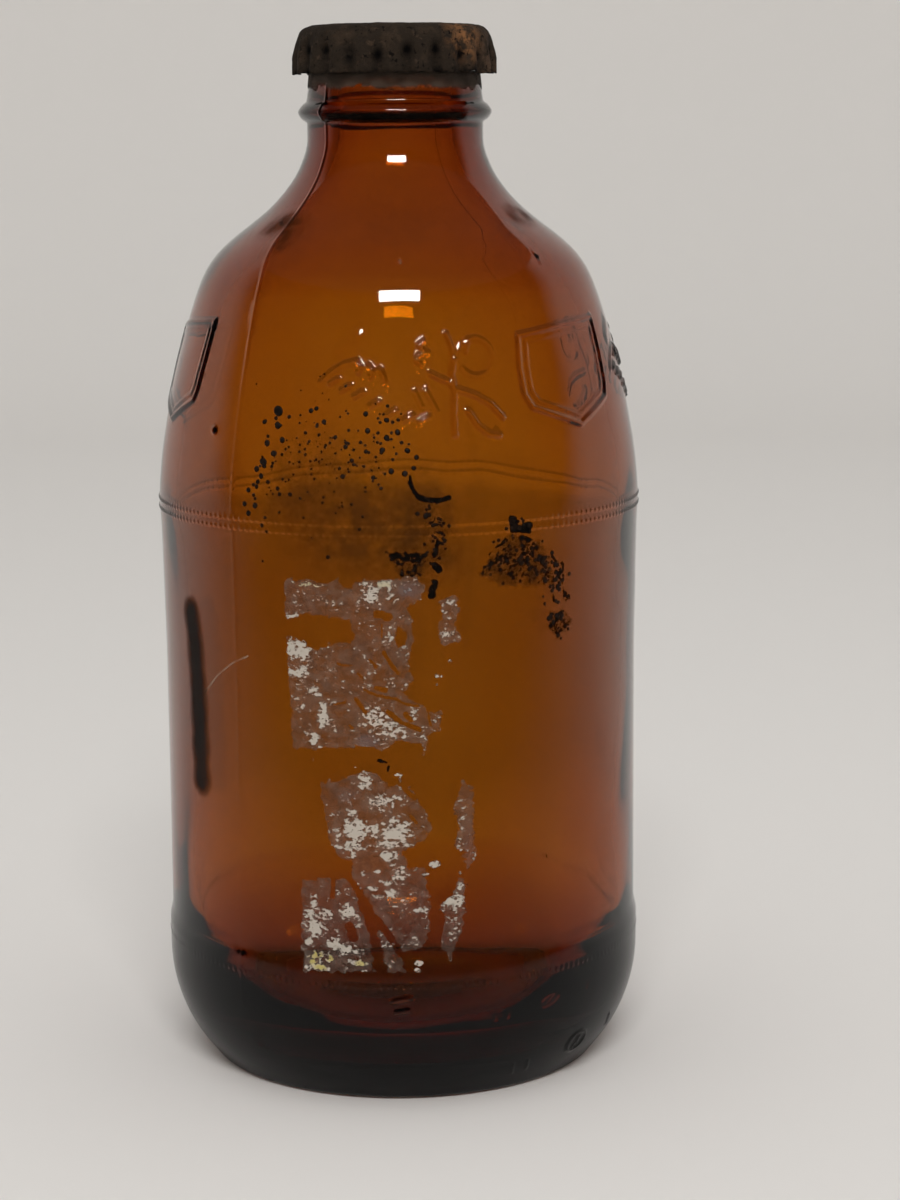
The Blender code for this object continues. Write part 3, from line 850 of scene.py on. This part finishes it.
LOWER_FIBRES = [
    (-4.4, 47.1, 0.7, 1, 1.0), (-5.5, 45.6, 0.9, 0.5, 0.4), (0.1, 46.2, 0.35, 1.0, 0.5),
    (-2.2, 44.1, 1.6, 0.9, 0.8), (-0.5, 44.6, 1.1, 0.35, 0.9), (-6.7, 45, 1.2, 0.9, 0.35),
    (-6, 42.3, 0.6, 0.55, 1.0), (-8, 42.6, 0.6, 0.6, 0.5), (-5.7, 40.2, 1.4, 1.1, 1.1),
    (-8.4, 39.2, 0.5, 0.8, 0.8), (-8, 37.7, 0.6, 0.3, 0.9), (-6.4, 37.6, 1, 0.9, 0.9),
    (-3.4, 40.2, 0.9, 0.9, 0.9), (-0.3, 39.9, 1.6, 1.1, 1.1), (-0.3, 41.7, 0.8, 0.7, 0.75),
    (-1.3, 38.3, 1.4, 0.4, 1.0), (0.7, 38.1, 0.9, 0.3, 0.9), (-1.3, 36.6, 0.9, 0.5, 1.1),
    (-2.9, 34.4, 0.45, 0.4, 0.8), (-5, 34, 0.5, 0.6, 0.5), (0.1, 34.2, 0.9, 0.8, 0.8),
    (-1.3, 32.9, 0.9, 0.5, 0.8), (-3.8, 32.1, 0.8, 0.3, 0.9), (-5.5, 32.5, 0.6, 0.4, 0.5),
    (-0.9, 31.5, 0.7, 0.5, 1.0), (-2.8, 30.9, 0.6, 0.2, 1.0), (0.3, 30.4, 0.4, 0.3, 0.7),
    (2.8, 29, 0.8, 0.35, 1.0), (1.2, 24.2, 0.6, 0.4, 0.6), (2.6, 31.8, 0.5, 0.8, 0.35),
]
CORNER_FIBRES = [
    (-11.9, 29.7, 0.5, 1.1, 0.8), (-12.1, 28, 1, 0.7, 1.0), (-9.9, 28.2, 0.7, 0.6, 0.9),
    (-11.7, 26.1, 1.2, 0.9, 1.1), (-13, 26.9, 0.4, 0.8, 0.9), (-12.1, 25, 0.6, 0.3, 0.9),
    (-12.5, 24, 0.5, 0.4, 1.0), (-7.1, 28.6, 1.1, 0.9, 0.9), (-8.4, 25.4, 0.8, 0.5, 0.5),
    (-9, 24, 1, 0.6, 1.0), (-7.1, 23.2, 1.2, 0.5, 1.0), (-5.3, 22.6, 0.5, 0.3, 0.8),
    (-11.5, 22.3, 0.7, 0.4, 0.9), (-12.2, 21.4, 0.8, 0.5, 0.9), (-10.9, 20.6, 0.8, 0.35, 1.0),
    (-9.5, 21.9, 0.6, 0.45, 0.9), (-5.3, 21.4, 0.7, 0.4, 0.9), (-6.3, 21.6, 0.5, 0.3, 0.8),
    (-4.9, 20.4, 0.7, 0.2, 0.9), (-12.9, 20.3, 0.5, 0.2, 0.9), (-7.8, 21.5, 0.8, 0.5, 0.5),
    (-7.2, 31.6, 0.8, 0.9, 0.5), (-12.9, 32, 0.5, 0.4, 0.4),
]
SLIVER_FIBRES = [
    (-2.6, 25.4, 0.4, 0.8, 0.6), (-1.6, 24, 0.7, 0.5, 0.7), (-0.8, 21.8, 0.5, 0.6, 0.35),
]
TOP_FIBRES = [
    (7.4, 71.3, 0.6, 0.6, 0.7), (6.6, 70.8, 0.5, 0.3, 0.6), (7, 67.2, 0.9, 1, 0.7),
]
MIDDLE_FIBRES = [
    (8.2, 37.4, 0.4, 0.5, 0.8), (9.8, 36.2, 0.4, 1.4, 0.55), (8.7, 43, 0.4, 0.4, 0.5),
]
BOTTOM_FIBRES = [
    (7.3, 30, 1.2, 0.9, 1.0), (8.4, 32, 0.4, 0.5, 0.8), (7.5, 27, 0.8, 1.4, 0.6),
    (7.2, 25, 0.7, 0.7, 0.65),
]
BLUE_PRINT = [
    (1.8, 73.1, 1.4, 1.1, 1), (-4, 52.6, 1.5, 0.9, 0.9), (-6.7, 45, 1.6, 1.2, 0.5),
    (9.7, 38, 0.8, 3, 0.5),
]
YELLOW_PRINT = [
    (-12.1, 73.6, 2.4, 0.5, 0.5), (-1.5, 73.9, 1.2, 0.5, 0.4), (-11.5, 22.3, 0.9, 0.5, 1),
    (-12.2, 21.4, 0.9, 0.6, 1), (-10.9, 20.6, 1, 0.4, 1), (-9.5, 21.9, 0.7, 0.5, 1),
    (-5.3, 21.4, 0.8, 0.5, 0.9),
]
# Cracks and holes right through a remnant: (half width, [(along the panel, height), ...]).
UPPER_GAPS = [
    (0.55, [(-2.4, 69.9), (-1, 69.6)]), (0.12, [(-1.9, 68.6), (-1.9, 66.8)]),
    (0.75, [(0.6, 67.2), (0.6, 66.2)]), (0.30, [(-1.7, 64.7), (-0.6, 62.9), (0.2, 61.9)]),
    (0.22, [(-3.6, 63.7), (-2.7, 62.7)]), (0.12, [(-8, 63), (-5.9, 62.8)]),
    (0.15, [(-5.3, 61.8), (-4.6, 61.3)]),
    (0.18, [(-4.4, 59.6), (-2.7, 58.8), (-0.4, 58.4), (1.2, 57.6), (2.9, 57.2)]),
    (0.35, [(-2.6, 59.8), (-1.5, 59.6)]), (0.13, [(-8.6, 57.4), (-6.9, 57.8)]),
    (0.28, [(-5.5, 58.2), (-4.2, 56.5)]), (0.33, [(-1.2, 56.6), (0.6, 55.1), (3, 54.1)]),
    (0.35, [(1.1, 56.3), (1.9, 55.3)]), (0.2, [(-6.4, 54.6), (-6, 54.2)]),
    (0.2, [(4.1, 56.8), (4.5, 54.6)]),
]
LOWER_GAPS = [
    (0.3, [(0.9, 45.9), (2.2, 44.6)]), (0.22, [(1.7, 42.2), (2.4, 41.2)]),
]
CORNER_GAPS = [
    (0.3, [(-9, 33.3), (-9.1, 30.6)]), (0.7, [(-6.8, 26.6), (-6.3, 25.1)]),
]


def edge_depth(s, z, outline):
    """How far inside the outline each point is, in mm, and below 0 outside it."""
    closed = outline + outline[:1]
    inside = np.zeros(len(s), bool)
    for (s0, z0), (s1, z1) in zip(closed[:-1], closed[1:]):
        if z1 != z0:
            crosses = (z0 > z) != (z1 > z)
            inside ^= crosses & (s < s0 + (s1 - s0) * (z - z0) / (z1 - z0))
    nearest = line_distance(s, z, closed)
    return np.where(inside, nearest, -nearest)


def patches(s, z, shapes, strewn=False):
    """How much of a patch there is at each point: flat-topped, or strewn out to every side."""
    amount = np.zeros(len(s))
    for at_s, at_z, wide, tall, strength in shapes:
        apart = ((s - at_s) / wide) ** 2 + ((z - at_z) / tall) ** 2
        falloff = 0.33 * apart if strewn else 0.7 * apart * apart
        amount = np.maximum(amount, strength * np.exp(-falloff))
    return amount


def marks(s, z, lines):
    """1 on each line and 0 beside it, for lines of (half width, [(s, z), ...])."""
    amount = np.zeros(len(s))
    for wide, line in lines:
        amount = np.maximum(amount, np.clip(1.5 - line_distance(s, z, line) / wide, 0, 1))
    return amount


def cloudy(s, z, size, shift=0.0):
    places = zip(s / size + shift, z / size)
    return np.array([noise.noise(Vector((a, b, shift))) for a, b in places])


def film(name, box, step, amounts, lift, thick):
    """A thin film on the glass. amounts(s, z) gives the three values that its material reads at
    each point, and the first of them says how much film there is."""
    low_s, high_s, low_z, high_z = box
    across, up = int((high_s - low_s) / step), int((high_z - low_z) / step)
    deselect_all()
    bpy.ops.mesh.primitive_grid_add(
        x_subdivisions=across, y_subdivisions=up, size=1, location=(0, 0, 0)
    )
    obj = just_added(name)
    flat = places_of(obj) * MM + 0.5
    s = low_s + flat[:, 0] * (high_s - low_s)
    z = low_z + flat[:, 1] * (high_z - low_z)
    values = np.clip(np.array(amounts(s, z)), 0, 1)
    turn = s / PANEL
    radius = outside_radius(z) + lift
    move_to(obj, np.column_stack([radius * np.sin(turn), -radius * np.cos(turn), z]))
    store_film(obj, *values)
    some = values[0] > 0.02
    edit_faces(obj, [not some[list(face.vertices)].any() for face in obj.data.polygons])
    bpy.ops.mesh.delete(type="FACE")
    thicken(obj, thick, 1)
    return obj


GLUE = (0.078, 0.052, 0.040)
FIBRE = (0.46, 0.41, 0.35)
FILM_CLEAR = 0.24
paper = Finish("torn_label_paper", GLUE, 0.8, 0.15)
how_much, fibres, print_tint = paper.film_values()
laid = paper.stretched((1, 1, 1.5))
paper.tint((0.145, 0.108, 0.090), paper.blotch(420, 0.45, 0.7, 5, place=laid))
paper.tint((0.070, 0.046, 0.034), paper.blotch(1100, 0.55, 0.72, 4))
more_fibre = paper.maths("MULTIPLY", fibres, 0.34)
fibre_mask = paper.blotch(1500, 0.70, 0.78, 6, extra=more_fibre, place=laid)
thick_glue = paper.blotch(900, 0.42, 0.6, 6, place=laid)
paper.tint((0.205, 0.160, 0.132), paper.ranged(fibres, 0.1, 0.6), thick_glue)
paper.tint(FIBRE, fibre_mask)
paper.tint((0.135, 0.135, 0.15), paper.ranged(print_tint, 0.55, 1.0), 0.75)
paper.tint((0.42, 0.35, 0.11), paper.ranged(print_tint, 0.45, 0.0), fibre_mask)
kept_paper = paper.ranged(how_much, 0, 1, -0.34, 0.20)
torn = paper.blotch(1100, 0.40, 0.47, 6, extra=kept_paper, place=laid)
cloudiness = paper.blotch(450, 0.36, 0.64, 6)
thin = paper.ranged(cloudiness, 0, 1, FILM_CLEAR * 0.65, FILM_CLEAR * 1.35)
paper.see_through(torn, paper.maths("MAXIMUM", thin, paper.maths("MULTIPLY", fibre_mask, 0.9)))
paper.bump(fibre_mask, 0.05)


def remnant(name, node, outline, fibres_here, gaps=()):
    """One remnant of the label, torn along its outline."""
    s_values, z_values = zip(*outline)
    box = (min(s_values) - 0.6, max(s_values) + 0.6, min(z_values) - 0.6, max(z_values) + 0.6)

    def amounts(s, z):
        depth = edge_depth(s, z, outline) + 0.30 * cloudy(s, z, 0.9)
        depth += 0.18 * cloudy(s, z, 0.35, 7.0)
        some = np.clip(depth / 0.9 + 0.62, 0, 1) * (1 - marks(s, z, gaps))
        strewn = 0.30 + 0.30 * cloudy(s, z, 1.6, 3.0)
        fibre = np.maximum(patches(s, z, fibres_here, strewn=True), strewn)
        tint = 0.5 + 0.5 * patches(s, z, BLUE_PRINT) - 0.5 * patches(s, z, YELLOW_PRINT)
        return some, fibre, tint

    piece = film(name, box, PAPER_STEP, amounts, PAPER_LIFT, PAPER_THICK)
    piece.data.materials.append(paper.material)
    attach(piece, "bottle")
    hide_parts(node)


remnant("paper_upper", "label_upper", UPPER, UPPER_FIBRES, UPPER_GAPS)
remnant("paper_lower", "label_lower", LOWER, LOWER_FIBRES, LOWER_GAPS)
remnant("paper_corner", "label_corner", CORNER, CORNER_FIBRES, CORNER_GAPS)
remnant("paper_sliver", "label_sliver", SLIVER, SLIVER_FIBRES)
remnant("paper_strip_top", "label_strip_top", STRIP_TOP, TOP_FIBRES)
remnant("paper_strip_middle", "label_strip_middle", STRIP_MIDDLE, MIDDLE_FIBRES)
remnant("paper_strip_bottom", "label_strip_bottom", STRIP_BOTTOM, BOTTOM_FIBRES)

# ---------------------------------------------------------------- paper crumbs
# Crumbs of the same label that are still stuck on between the remnants, each a few fibres
# thick and a millimetre or so across.
CRUMBS = [
    (4.9, 35.3, 0.8, 0.55, 1.2), (3.6, 34, 0.5, 0.25, 1.1), (2.6, 21.5, 0.6, 0.5, 1.0),
    (2.4, 20.6, 0.5, 0.3, 1.0), (5.4, 61.4, 0.3, 0.35, 0.9), (6, 61.3, 0.2, 0.3, 0.8),
    (5.4, 60.2, 0.18, 0.18, 0.9), (7.2, 63.3, 0.4, 0.25, 0.7), (0.1, 47.9, 0.6, 0.2, 0.9),
    (0.3, 47.2, 0.25, 0.5, 0.8), (8.4, 33.9, 0.25, 0.35, 0.8), (-5.7, 48.9, 0.15, 0.12, 0.9),
    (4.6, 49.9, 0.3, 0.4, 0.5), (-11.7, 49.6, 0.3, 0.5, 0.45),
]


def crumb_amounts(s, z):
    here = patches(s, z, CRUMBS)
    some = np.clip(here * 1.6 + 0.5 * cloudy(s, z, 0.5) - 0.35, 0, 1) * (here > 0.05)
    return some, here, np.full(len(s), 0.5)


crumbs = film("paper_crumbs", (-13, 10, 19.8, 64.5), 0.2, crumb_amounts, PAPER_LIFT, PAPER_THICK)
crumbs.data.materials.append(paper.material)
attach(crumbs, "bottle")

# ---------------------------------------------------------------- dried spots
# Drops of something dark that dried on the front of the shoulder: round brown-black beads,
# thick in a streak at the left and finer towards the middle.
SPOT_THICK, SPOT_LIFT = 0.09, 0.05
LARGE_SPOTS = [
    (-16.9, 96.6, 0.8), (-16.8, 94.7, 0.55), (-19, 95.1, 0.4), (-15.1, 95.9, 0.3),
    (-18.3, 92.3, 0.5), (-15.9, 92.8, 0.45), (-17.1, 91, 0.5), (-18.7, 89.8, 0.62),
    (-19.7, 88.8, 0.45), (-18.9, 87.9, 0.42), (-19.4, 87.1, 0.35), (-20.9, 85.9, 0.38),
    (-21.5, 84, 0.38), (-19.7, 83.9, 0.45), (-20.8, 82.8, 0.42), (-18.6, 81.3, 0.3),
    (-11.8, 96.8, 0.35), (-11, 97.1, 0.35), (-9.8, 95.4, 0.36), (-10.8, 94.8, 0.26),
    (-3.9, 96.5, 0.38), (-3.6, 94.3, 0.42), (-1, 95.7, 0.38), (0.6, 95.7, 0.28), (-1, 93.4, 0.42),
    (0.5, 94.1, 0.45), (-1.6, 91.8, 0.4), (-3.8, 91.6, 0.3), (1.8, 91.7, 0.42), (3, 90.8, 0.38),
    (2.6, 89.4, 0.34), (1.4, 88.7, 0.42), (-0.4, 89, 0.4), (-2.8, 88.2, 0.34), (-6.9, 88.3, 0.36),
    (-5.7, 90.4, 0.32), (-6.6, 92.2, 0.36), (-8.1, 93.4, 0.32), (-16.2, 86.4, 0.34),
    (-14.3, 85.7, 0.34), (-9, 77.5, 0.3), (4.1, 83.1, 0.47),
]
# Each spray is (middle, spread, how many, (smallest, largest)).
SPRAY = [
    ((-10, 91), (4.6, 4.2), 120, (0.08, 0.24)), ((-18.3, 89), (1.1, 4), 26, (0.12, 0.34)),
    ((-3, 92), (3.5, 3), 40, (0.1, 0.28)),
]
FAN_SPRAY = [
    ((15, 77.6), (1.2, 1.1), 20, (0.12, 0.34)), ((18, 77.2), (1.5, 1.1), 26, (0.14, 0.4)),
    ((20.8, 75.4), (1.3, 1.2), 24, (0.14, 0.42)), ((22.6, 73.4), (1, 1.4), 20, (0.12, 0.4)),
    ((24.2, 71.6), (0.7, 1.6), 16, (0.12, 0.38)), ((23.6, 67.2), (1, 0.9), 18, (0.14, 0.42)),
    ((16.8, 81.3), (0.8, 0.5), 10, (0.2, 0.45)), ((13.2, 75.8), (0.7, 0.7), 8, (0.1, 0.25)),
]
DRIP = [(4.5, 83.5), (6.3, 80.3), (3.2, 78)]
DRIP_SPOTS = 34

draw = random.Random(21)
spots = list(LARGE_SPOTS)
for (at_s, at_z), (wide, tall), count, (small, large) in SPRAY + FAN_SPRAY:
    for _ in range(count):
        spots.append((draw.gauss(at_s, wide), draw.gauss(at_z, tall), draw.uniform(small, large)))
for _ in range(DRIP_SPOTS):
    t = draw.uniform(0, 2)
    (s0, z0), (s1, z1) = DRIP[int(t)], DRIP[int(t) + 1]
    t -= int(t)
    at_s = s0 + (s1 - s0) * t + draw.gauss(0, 0.7)
    at_z = z0 + (z1 - z0) * t + draw.gauss(0, 0.6)
    spots.append((at_s, at_z, draw.uniform(0.14, 0.32)))

deselect_all()
bpy.ops.mesh.primitive_ico_sphere_add(subdivisions=2, radius=1, location=(0, 0, 0))
bead = just_added("dried_spots")
beads = []
for at_s, at_z, size in spots:
    turn = at_s / PANEL
    lean = float(outside_radius(at_z + 0.5) - outside_radius(at_z - 0.5))
    radius = float(outside_radius(at_z))
    outward = Vector((math.sin(turn), -math.cos(turn), -lean)).normalized()
    turned_out = outward.to_track_quat("Z", "Y").to_matrix().to_4x4()
    squeeze = draw.uniform(0.82, 1.0)
    thick = SPOT_THICK * min(size / 0.4, 1.2)
    scale = Matrix.Diagonal((size * MM, size * squeeze * MM, thick * MM, 1))
    centre = Vector((radius * math.sin(turn), -radius * math.cos(turn), at_z)) * MM
    centre += outward * SPOT_LIFT * MM
    spun = Matrix.Rotation(draw.uniform(0, 3), 4, "Z")
    copy = bead.copy()
    copy.data = bead.data.copy()
    copy.data.transform(Matrix.Translation(centre) @ turned_out @ spun @ scale)
    scene.collection.objects.link(copy)
    beads.append(copy)
bpy.data.objects.remove(bead)
deselect_all()
for copy in beads:
    copy.select_set(True)
bpy.context.view_layer.objects.active = beads[0]
bpy.ops.object.join()
beads = just_added("dried_spots")
bpy.ops.object.shade_smooth()
dried = Finish("dried_residue", (0.006, 0.0028, 0.0015), 0.6, 0.15)
dried.tint((0.016, 0.007, 0.003), dried.blotch(700, 0.4, 0.65, 3))
dried.rough(dried.blotch(900, 0.3, 0.7), 0.4, 0.7)
dried.bump(dried.blotch(2200, 0.3, 0.7, 3), 0.03)
beads.data.materials.append(dried.material)
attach(beads, "bottle")

# ---------------------------------------------------------------- dark deposits
# Thicker crusts of the same residue: a hook and a run of crumbs above the label, a fan with a
# black upper edge at the right, and a thin brown haze round the spots. Fainter films are a
# painted dark reflection streak down the left side, a dark patch on each shoulder and a dark band
# on the neck ring.
HOOK = [
    (0.17, [(2.1, 88.4), (2.1, 87.5)]), (0.3, [(2.1, 87.5), (2.5, 86.4), (3.2, 85.6)]),
    (0.36, [(3.2, 85.6), (4.1, 85.2), (5.7, 85.0), (7.1, 85.4)]),
]
BOWL = [
    (-1.3, 78.4), (4.6, 78.2), (3.9, 76.6), (3.5, 74.9), (0.6, 75), (-0.2, 76.1),
]
RUN = [
    (0.5, [(5.3, 76.4), (5.6, 75.8)]), (0.5, [(5.2, 74), (4.8, 72.4)]),
    (0.28, [(5.6, 79.6), (5.2, 77.6)]), (0.22, [(-2.5, 49.9), (-1.6, 49.6)]),
    (0.2, [(-1.2, 49), (-1.3, 48.5)]),
]
CRUMBLED = [(5.2, 81, 1.6, 3, 1), (5.5, 77, 1, 1.6, 1)]
FAN = [
    (15.6, 79.9), (13.8, 78.4), (11.4, 74.8), (13.5, 73.6), (16.5, 73), (19.8, 72.4),
    (22.9, 72.6), (22.2, 76), (20.2, 78.8), (17.2, 79.7),
]
FAN_CHUNK = [
    (0.6, [(16, 82), (16.4, 81), (17.4, 80.6), (18.6, 81)]), (0.4, [(16, 80.6), (18.6, 80.3)]),
]
FAN_DARK = [
    (0.34, [(15.5, 79.7), (18, 79.2), (19.6, 78.9), (20.2, 77.2)]),
    (0.24, [(15.6, 79.9), (13.8, 78.4), (11.6, 75)]),
    (0.3, [(22, 77.5), (23.4, 75.5), (24.4, 72.9), (25.3, 69.8)]),
    (0.26, [(22.4, 74), (22.8, 70.4)]),
]
FAN_FOOT = [
    (22.3, 68.6), (24.4, 69), (26.4, 67.3), (25.2, 66.1), (23.4, 65), (22.1, 66.9),
]
HAZE = [
    (-10, 86, 7, 5, 0.30), (-3, 81.5, 7, 4.2, 0.42), (-9, 92, 6, 4, 0.2), (3.5, 81, 3, 4.5, 0.5),
    (12, 86, 3.5, 2, 0.16), (4, 78, 3.4, 3, 0.4),
]
HAZE_BOX, HAZE_FADE = (-22, 17, 70.5, 98), (5, 3)
# Darker patches high on each shoulder, in mm: (along the panel, height, half width, half height,
# how much).
SHOULDER_DARK_PATCHES = [(-29, 120.6, 7, 1.8, 0.5), (-24, 119.2, 3, 2.2, 0.45), (38.5, 121.6, 6, 1.5, 0.5)]
# A painted dark reflection streaked down the left side: (half width, [(along the panel, height),
# ...]).
REFLECTION_STREAK = [(1.8, [(-33.9, 67.5), (-33.2, 62), (-32.7, 56), (-32.5, 50), (-32.3, 44)])]
# A dark band round the front of the neck's ring, fading towards its sides: its height and half
# height, in mm.
RING_BAND_HEIGHT, RING_BAND_HALF = 135.35, 0.52
DEPOSIT_STEP, DEPOSIT_LIFT, DEPOSIT_THICK = 0.2, 0.05, 0.06

crust = Finish("dark_crust", (0.003, 0.0018, 0.0012), 0.75, 0.05)
covered, darkness, haze = crust.film_values()
crust.tint((0.009, 0.0045, 0.0025), crust.blotch(800, 0.45, 0.62, 5))
more_crust = crust.ranged(darkness, 0, 1, -0.30, 0.30)
broken = crust.blotch(1000, 0.46, 0.56, 5, extra=more_crust)
crust.tint((0.020, 0.0085, 0.003), crust.maths("SUBTRACT", 1.0, broken))
thin_haze = crust.maths("MULTIPLY", haze, crust.blotch(420, 0.15, 0.70, 6))
shown = crust.maths("MAXIMUM", crust.maths("MULTIPLY", broken, 0.98), thin_haze)
crust.see_through(covered, shown)
crust.bump(crust.blotch(1500, 0.3, 0.7, 4), 0.05)


def centre_amounts(s, z):
    ragged = 0.35 * cloudy(s, z, 0.8)
    hook = marks(s, z, HOOK)
    bowl = np.clip((edge_depth(s, z, BOWL) + ragged) / 0.4 + 0.5, 0, 1)
    bowl_dark = 0.52 + 0.6 * cloudy(s, z, 0.55, 6.0) + 0.10 * np.clip(z - 76.5, -1, 1.5)
    run = marks(s + ragged, z, RUN)
    crumbled = np.clip(cloudy(s, z, 0.7, 11.0) * 2.4 - 0.25, 0, 1) * patches(s, z, CRUMBLED)
    dark = np.maximum.reduce([hook, bowl * bowl_dark, run, crumbled * 0.75])
    (left, right, low, high), (beside, beneath) = HAZE_BOX, HAZE_FADE
    margins = [
        (s - left) / beside, (right - s) / beside, (z - low) / beneath, (high - z) / beside,
    ]
    fade = np.clip(np.minimum.reduce(margins), 0, 1)
    thin = np.maximum(fade * patches(s, z, HAZE, strewn=True), 0.62 * bowl)
    return np.clip(np.maximum(dark * 3, thin * 4), 0, 1), dark, thin


def fan_amounts(s, z):
    ragged = 0.5 * cloudy(s, z, 1.1, 5.0) + 0.2 * cloudy(s, z, 0.4, 2.0)
    brown = np.clip((edge_depth(s, z, FAN) + ragged) / 0.8 + 0.5, 0, 1)
    spotted = brown * (0.40 + 0.5 * cloudy(s, z, 0.5, 9.0))
    foot = np.clip((edge_depth(s, z, FAN_FOOT) + ragged) / 0.5 + 0.5, 0, 1)
    foot *= 0.5 + 0.35 * cloudy(s, z, 0.6, 4.0)
    bent = 1.3 * cloudy(s, z, 1.4, 6.0)
    drawn = marks(s + bent, z + 0.8 * ragged, FAN_DARK)
    drawn *= 0.62 + 0.6 * cloudy(s, z, 0.9, 8.0)
    chunk = marks(s + 0.5 * ragged, z + 0.4 * ragged, FAN_CHUNK)
    dark = np.maximum.reduce([drawn, chunk, spotted, foot])
    thin = np.maximum(brown * (0.5 + 0.4 * cloudy(s, z, 1.5, 2.0)), foot)
    return np.clip(np.maximum(dark * 3, thin * 3), 0, 1), dark, 0.8 * thin


def shoulder_patch_amounts(s, z):
    dark = patches(s, z, SHOULDER_DARK_PATCHES) * (0.9 + 0.5 * cloudy(s, z, 3))
    return np.clip(dark * 2, 0, 1), 0.5 * dark, dark


def reflection_streak_amounts(s, z):
    dark = marks(s + 0.3 * cloudy(s, z, 3), z, REFLECTION_STREAK) * (0.92 + 0.15 * cloudy(s, z, 3, 4.0))
    return dark, dark, dark


def ring_amounts(s, z):
    across = np.exp(-(((z - RING_BAND_HEIGHT) / RING_BAND_HALF) ** 4))
    dark = across * np.clip((29.5 - np.abs(s + 0.7 * cloudy(s, z, 4))) / 5, 0, 1)
    return dark, np.full(len(s), 0.85), np.zeros(len(s))


# The painted dark reflection, laid on the glass as a thin grey film.
painted_reflection = Finish("painted_dark_reflection", (0.020, 0.017, 0.0155), 0.8, 0.05)
painted_reflection.see_through(painted_reflection.film_values()[0], 0.92)

for name, finish, box, amounts in (
    ("centre_deposit", crust, HAZE_BOX, centre_amounts),
    ("painted_reflection_left", painted_reflection, (-37.5, -28.5, 40, 72), reflection_streak_amounts),
    ("run_crumbs", crust, (-3.5, -0.5, 47.8, 50.8), centre_amounts),
    ("fan_deposit", crust, (10.5, 28, 63.5, 84), fan_amounts),
    ("shoulder_dark_patch_left", crust, (-40, -18, 115, 125), shoulder_patch_amounts),
    ("shoulder_dark_patch_right", crust, (29, 47, 118, 125), shoulder_patch_amounts),
    ("ring_dark_band", crust, (-34, 34, 134.5, 136.4), ring_amounts),
):
    deposit = film(name, box, DEPOSIT_STEP, amounts, DEPOSIT_LIFT, DEPOSIT_THICK)
    deposit.data.materials.append(finish.material)
    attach(deposit, "bottle")

# ---------------------------------------------------------------- neck grime
# A ring of dust and rust that has washed down from under the cap on to the top of the neck. It
# is thickest at the skirt and breaks up below it.
GRIME_LINE = [(138.8, 0.04), (139.5, 0.10), (140.6, 0.16), (141.3, 0.18), (141.4, 0.05)]
GRIME_BACK = [(141.2, 0.02), (138.9, 0.01)]
line = [(float(outside_radius(z)) + lift, z) for z, lift in GRIME_LINE + GRIME_BACK]
neck_grime = turned("neck_grime", line + line[:1], 144)
grime = Finish("rust_dust", (0.056, 0.037, 0.024), 0.9)
grime.tint((0.034, 0.020, 0.011), grime.blotch(500, 0.4, 0.62, 5))
more = grime.ranged(grime.split_place()["Z"], 0.1386, 0.1399, -0.16, 0.20)
grime.see_through(grime.blotch(420, 0.46, 0.60, 5, extra=more), 0.78)
grime.bump(grime.blotch(1200, 0.3, 0.7), 0.05)
neck_grime.data.materials.append(grime.material)
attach(neck_grime, "bottle")

# ---------------------------------------------------------------- scratch
# A long shallow scratch in the glass at the left of the label, filled with pale dust.
SCRATCH = [
    (0.10, [
        (-21.8, 63), (-24.7, 61.7), (-27.7, 59.7), (-30.3, 57.3), (-32.8, 54.6), (-35.4, 51.8),
    ]),
]


def scratch_amounts(s, z):
    line = marks(s, z, SCRATCH) * (0.55 + 0.5 * cloudy(s, z, 2.2))
    return line, line, line


dust = Finish("scratch_dust", (0.30, 0.22, 0.16), 0.8)
dust.see_through(dust.film_values()[0], dust.blotch(900, 0.3, 0.6, 3))
scratch = film("scratch", (-36, -21, 51, 64), 0.12, scratch_amounts, 0.02, 0.02)
scratch.data.materials.append(dust.material)
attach(scratch, "bottle")
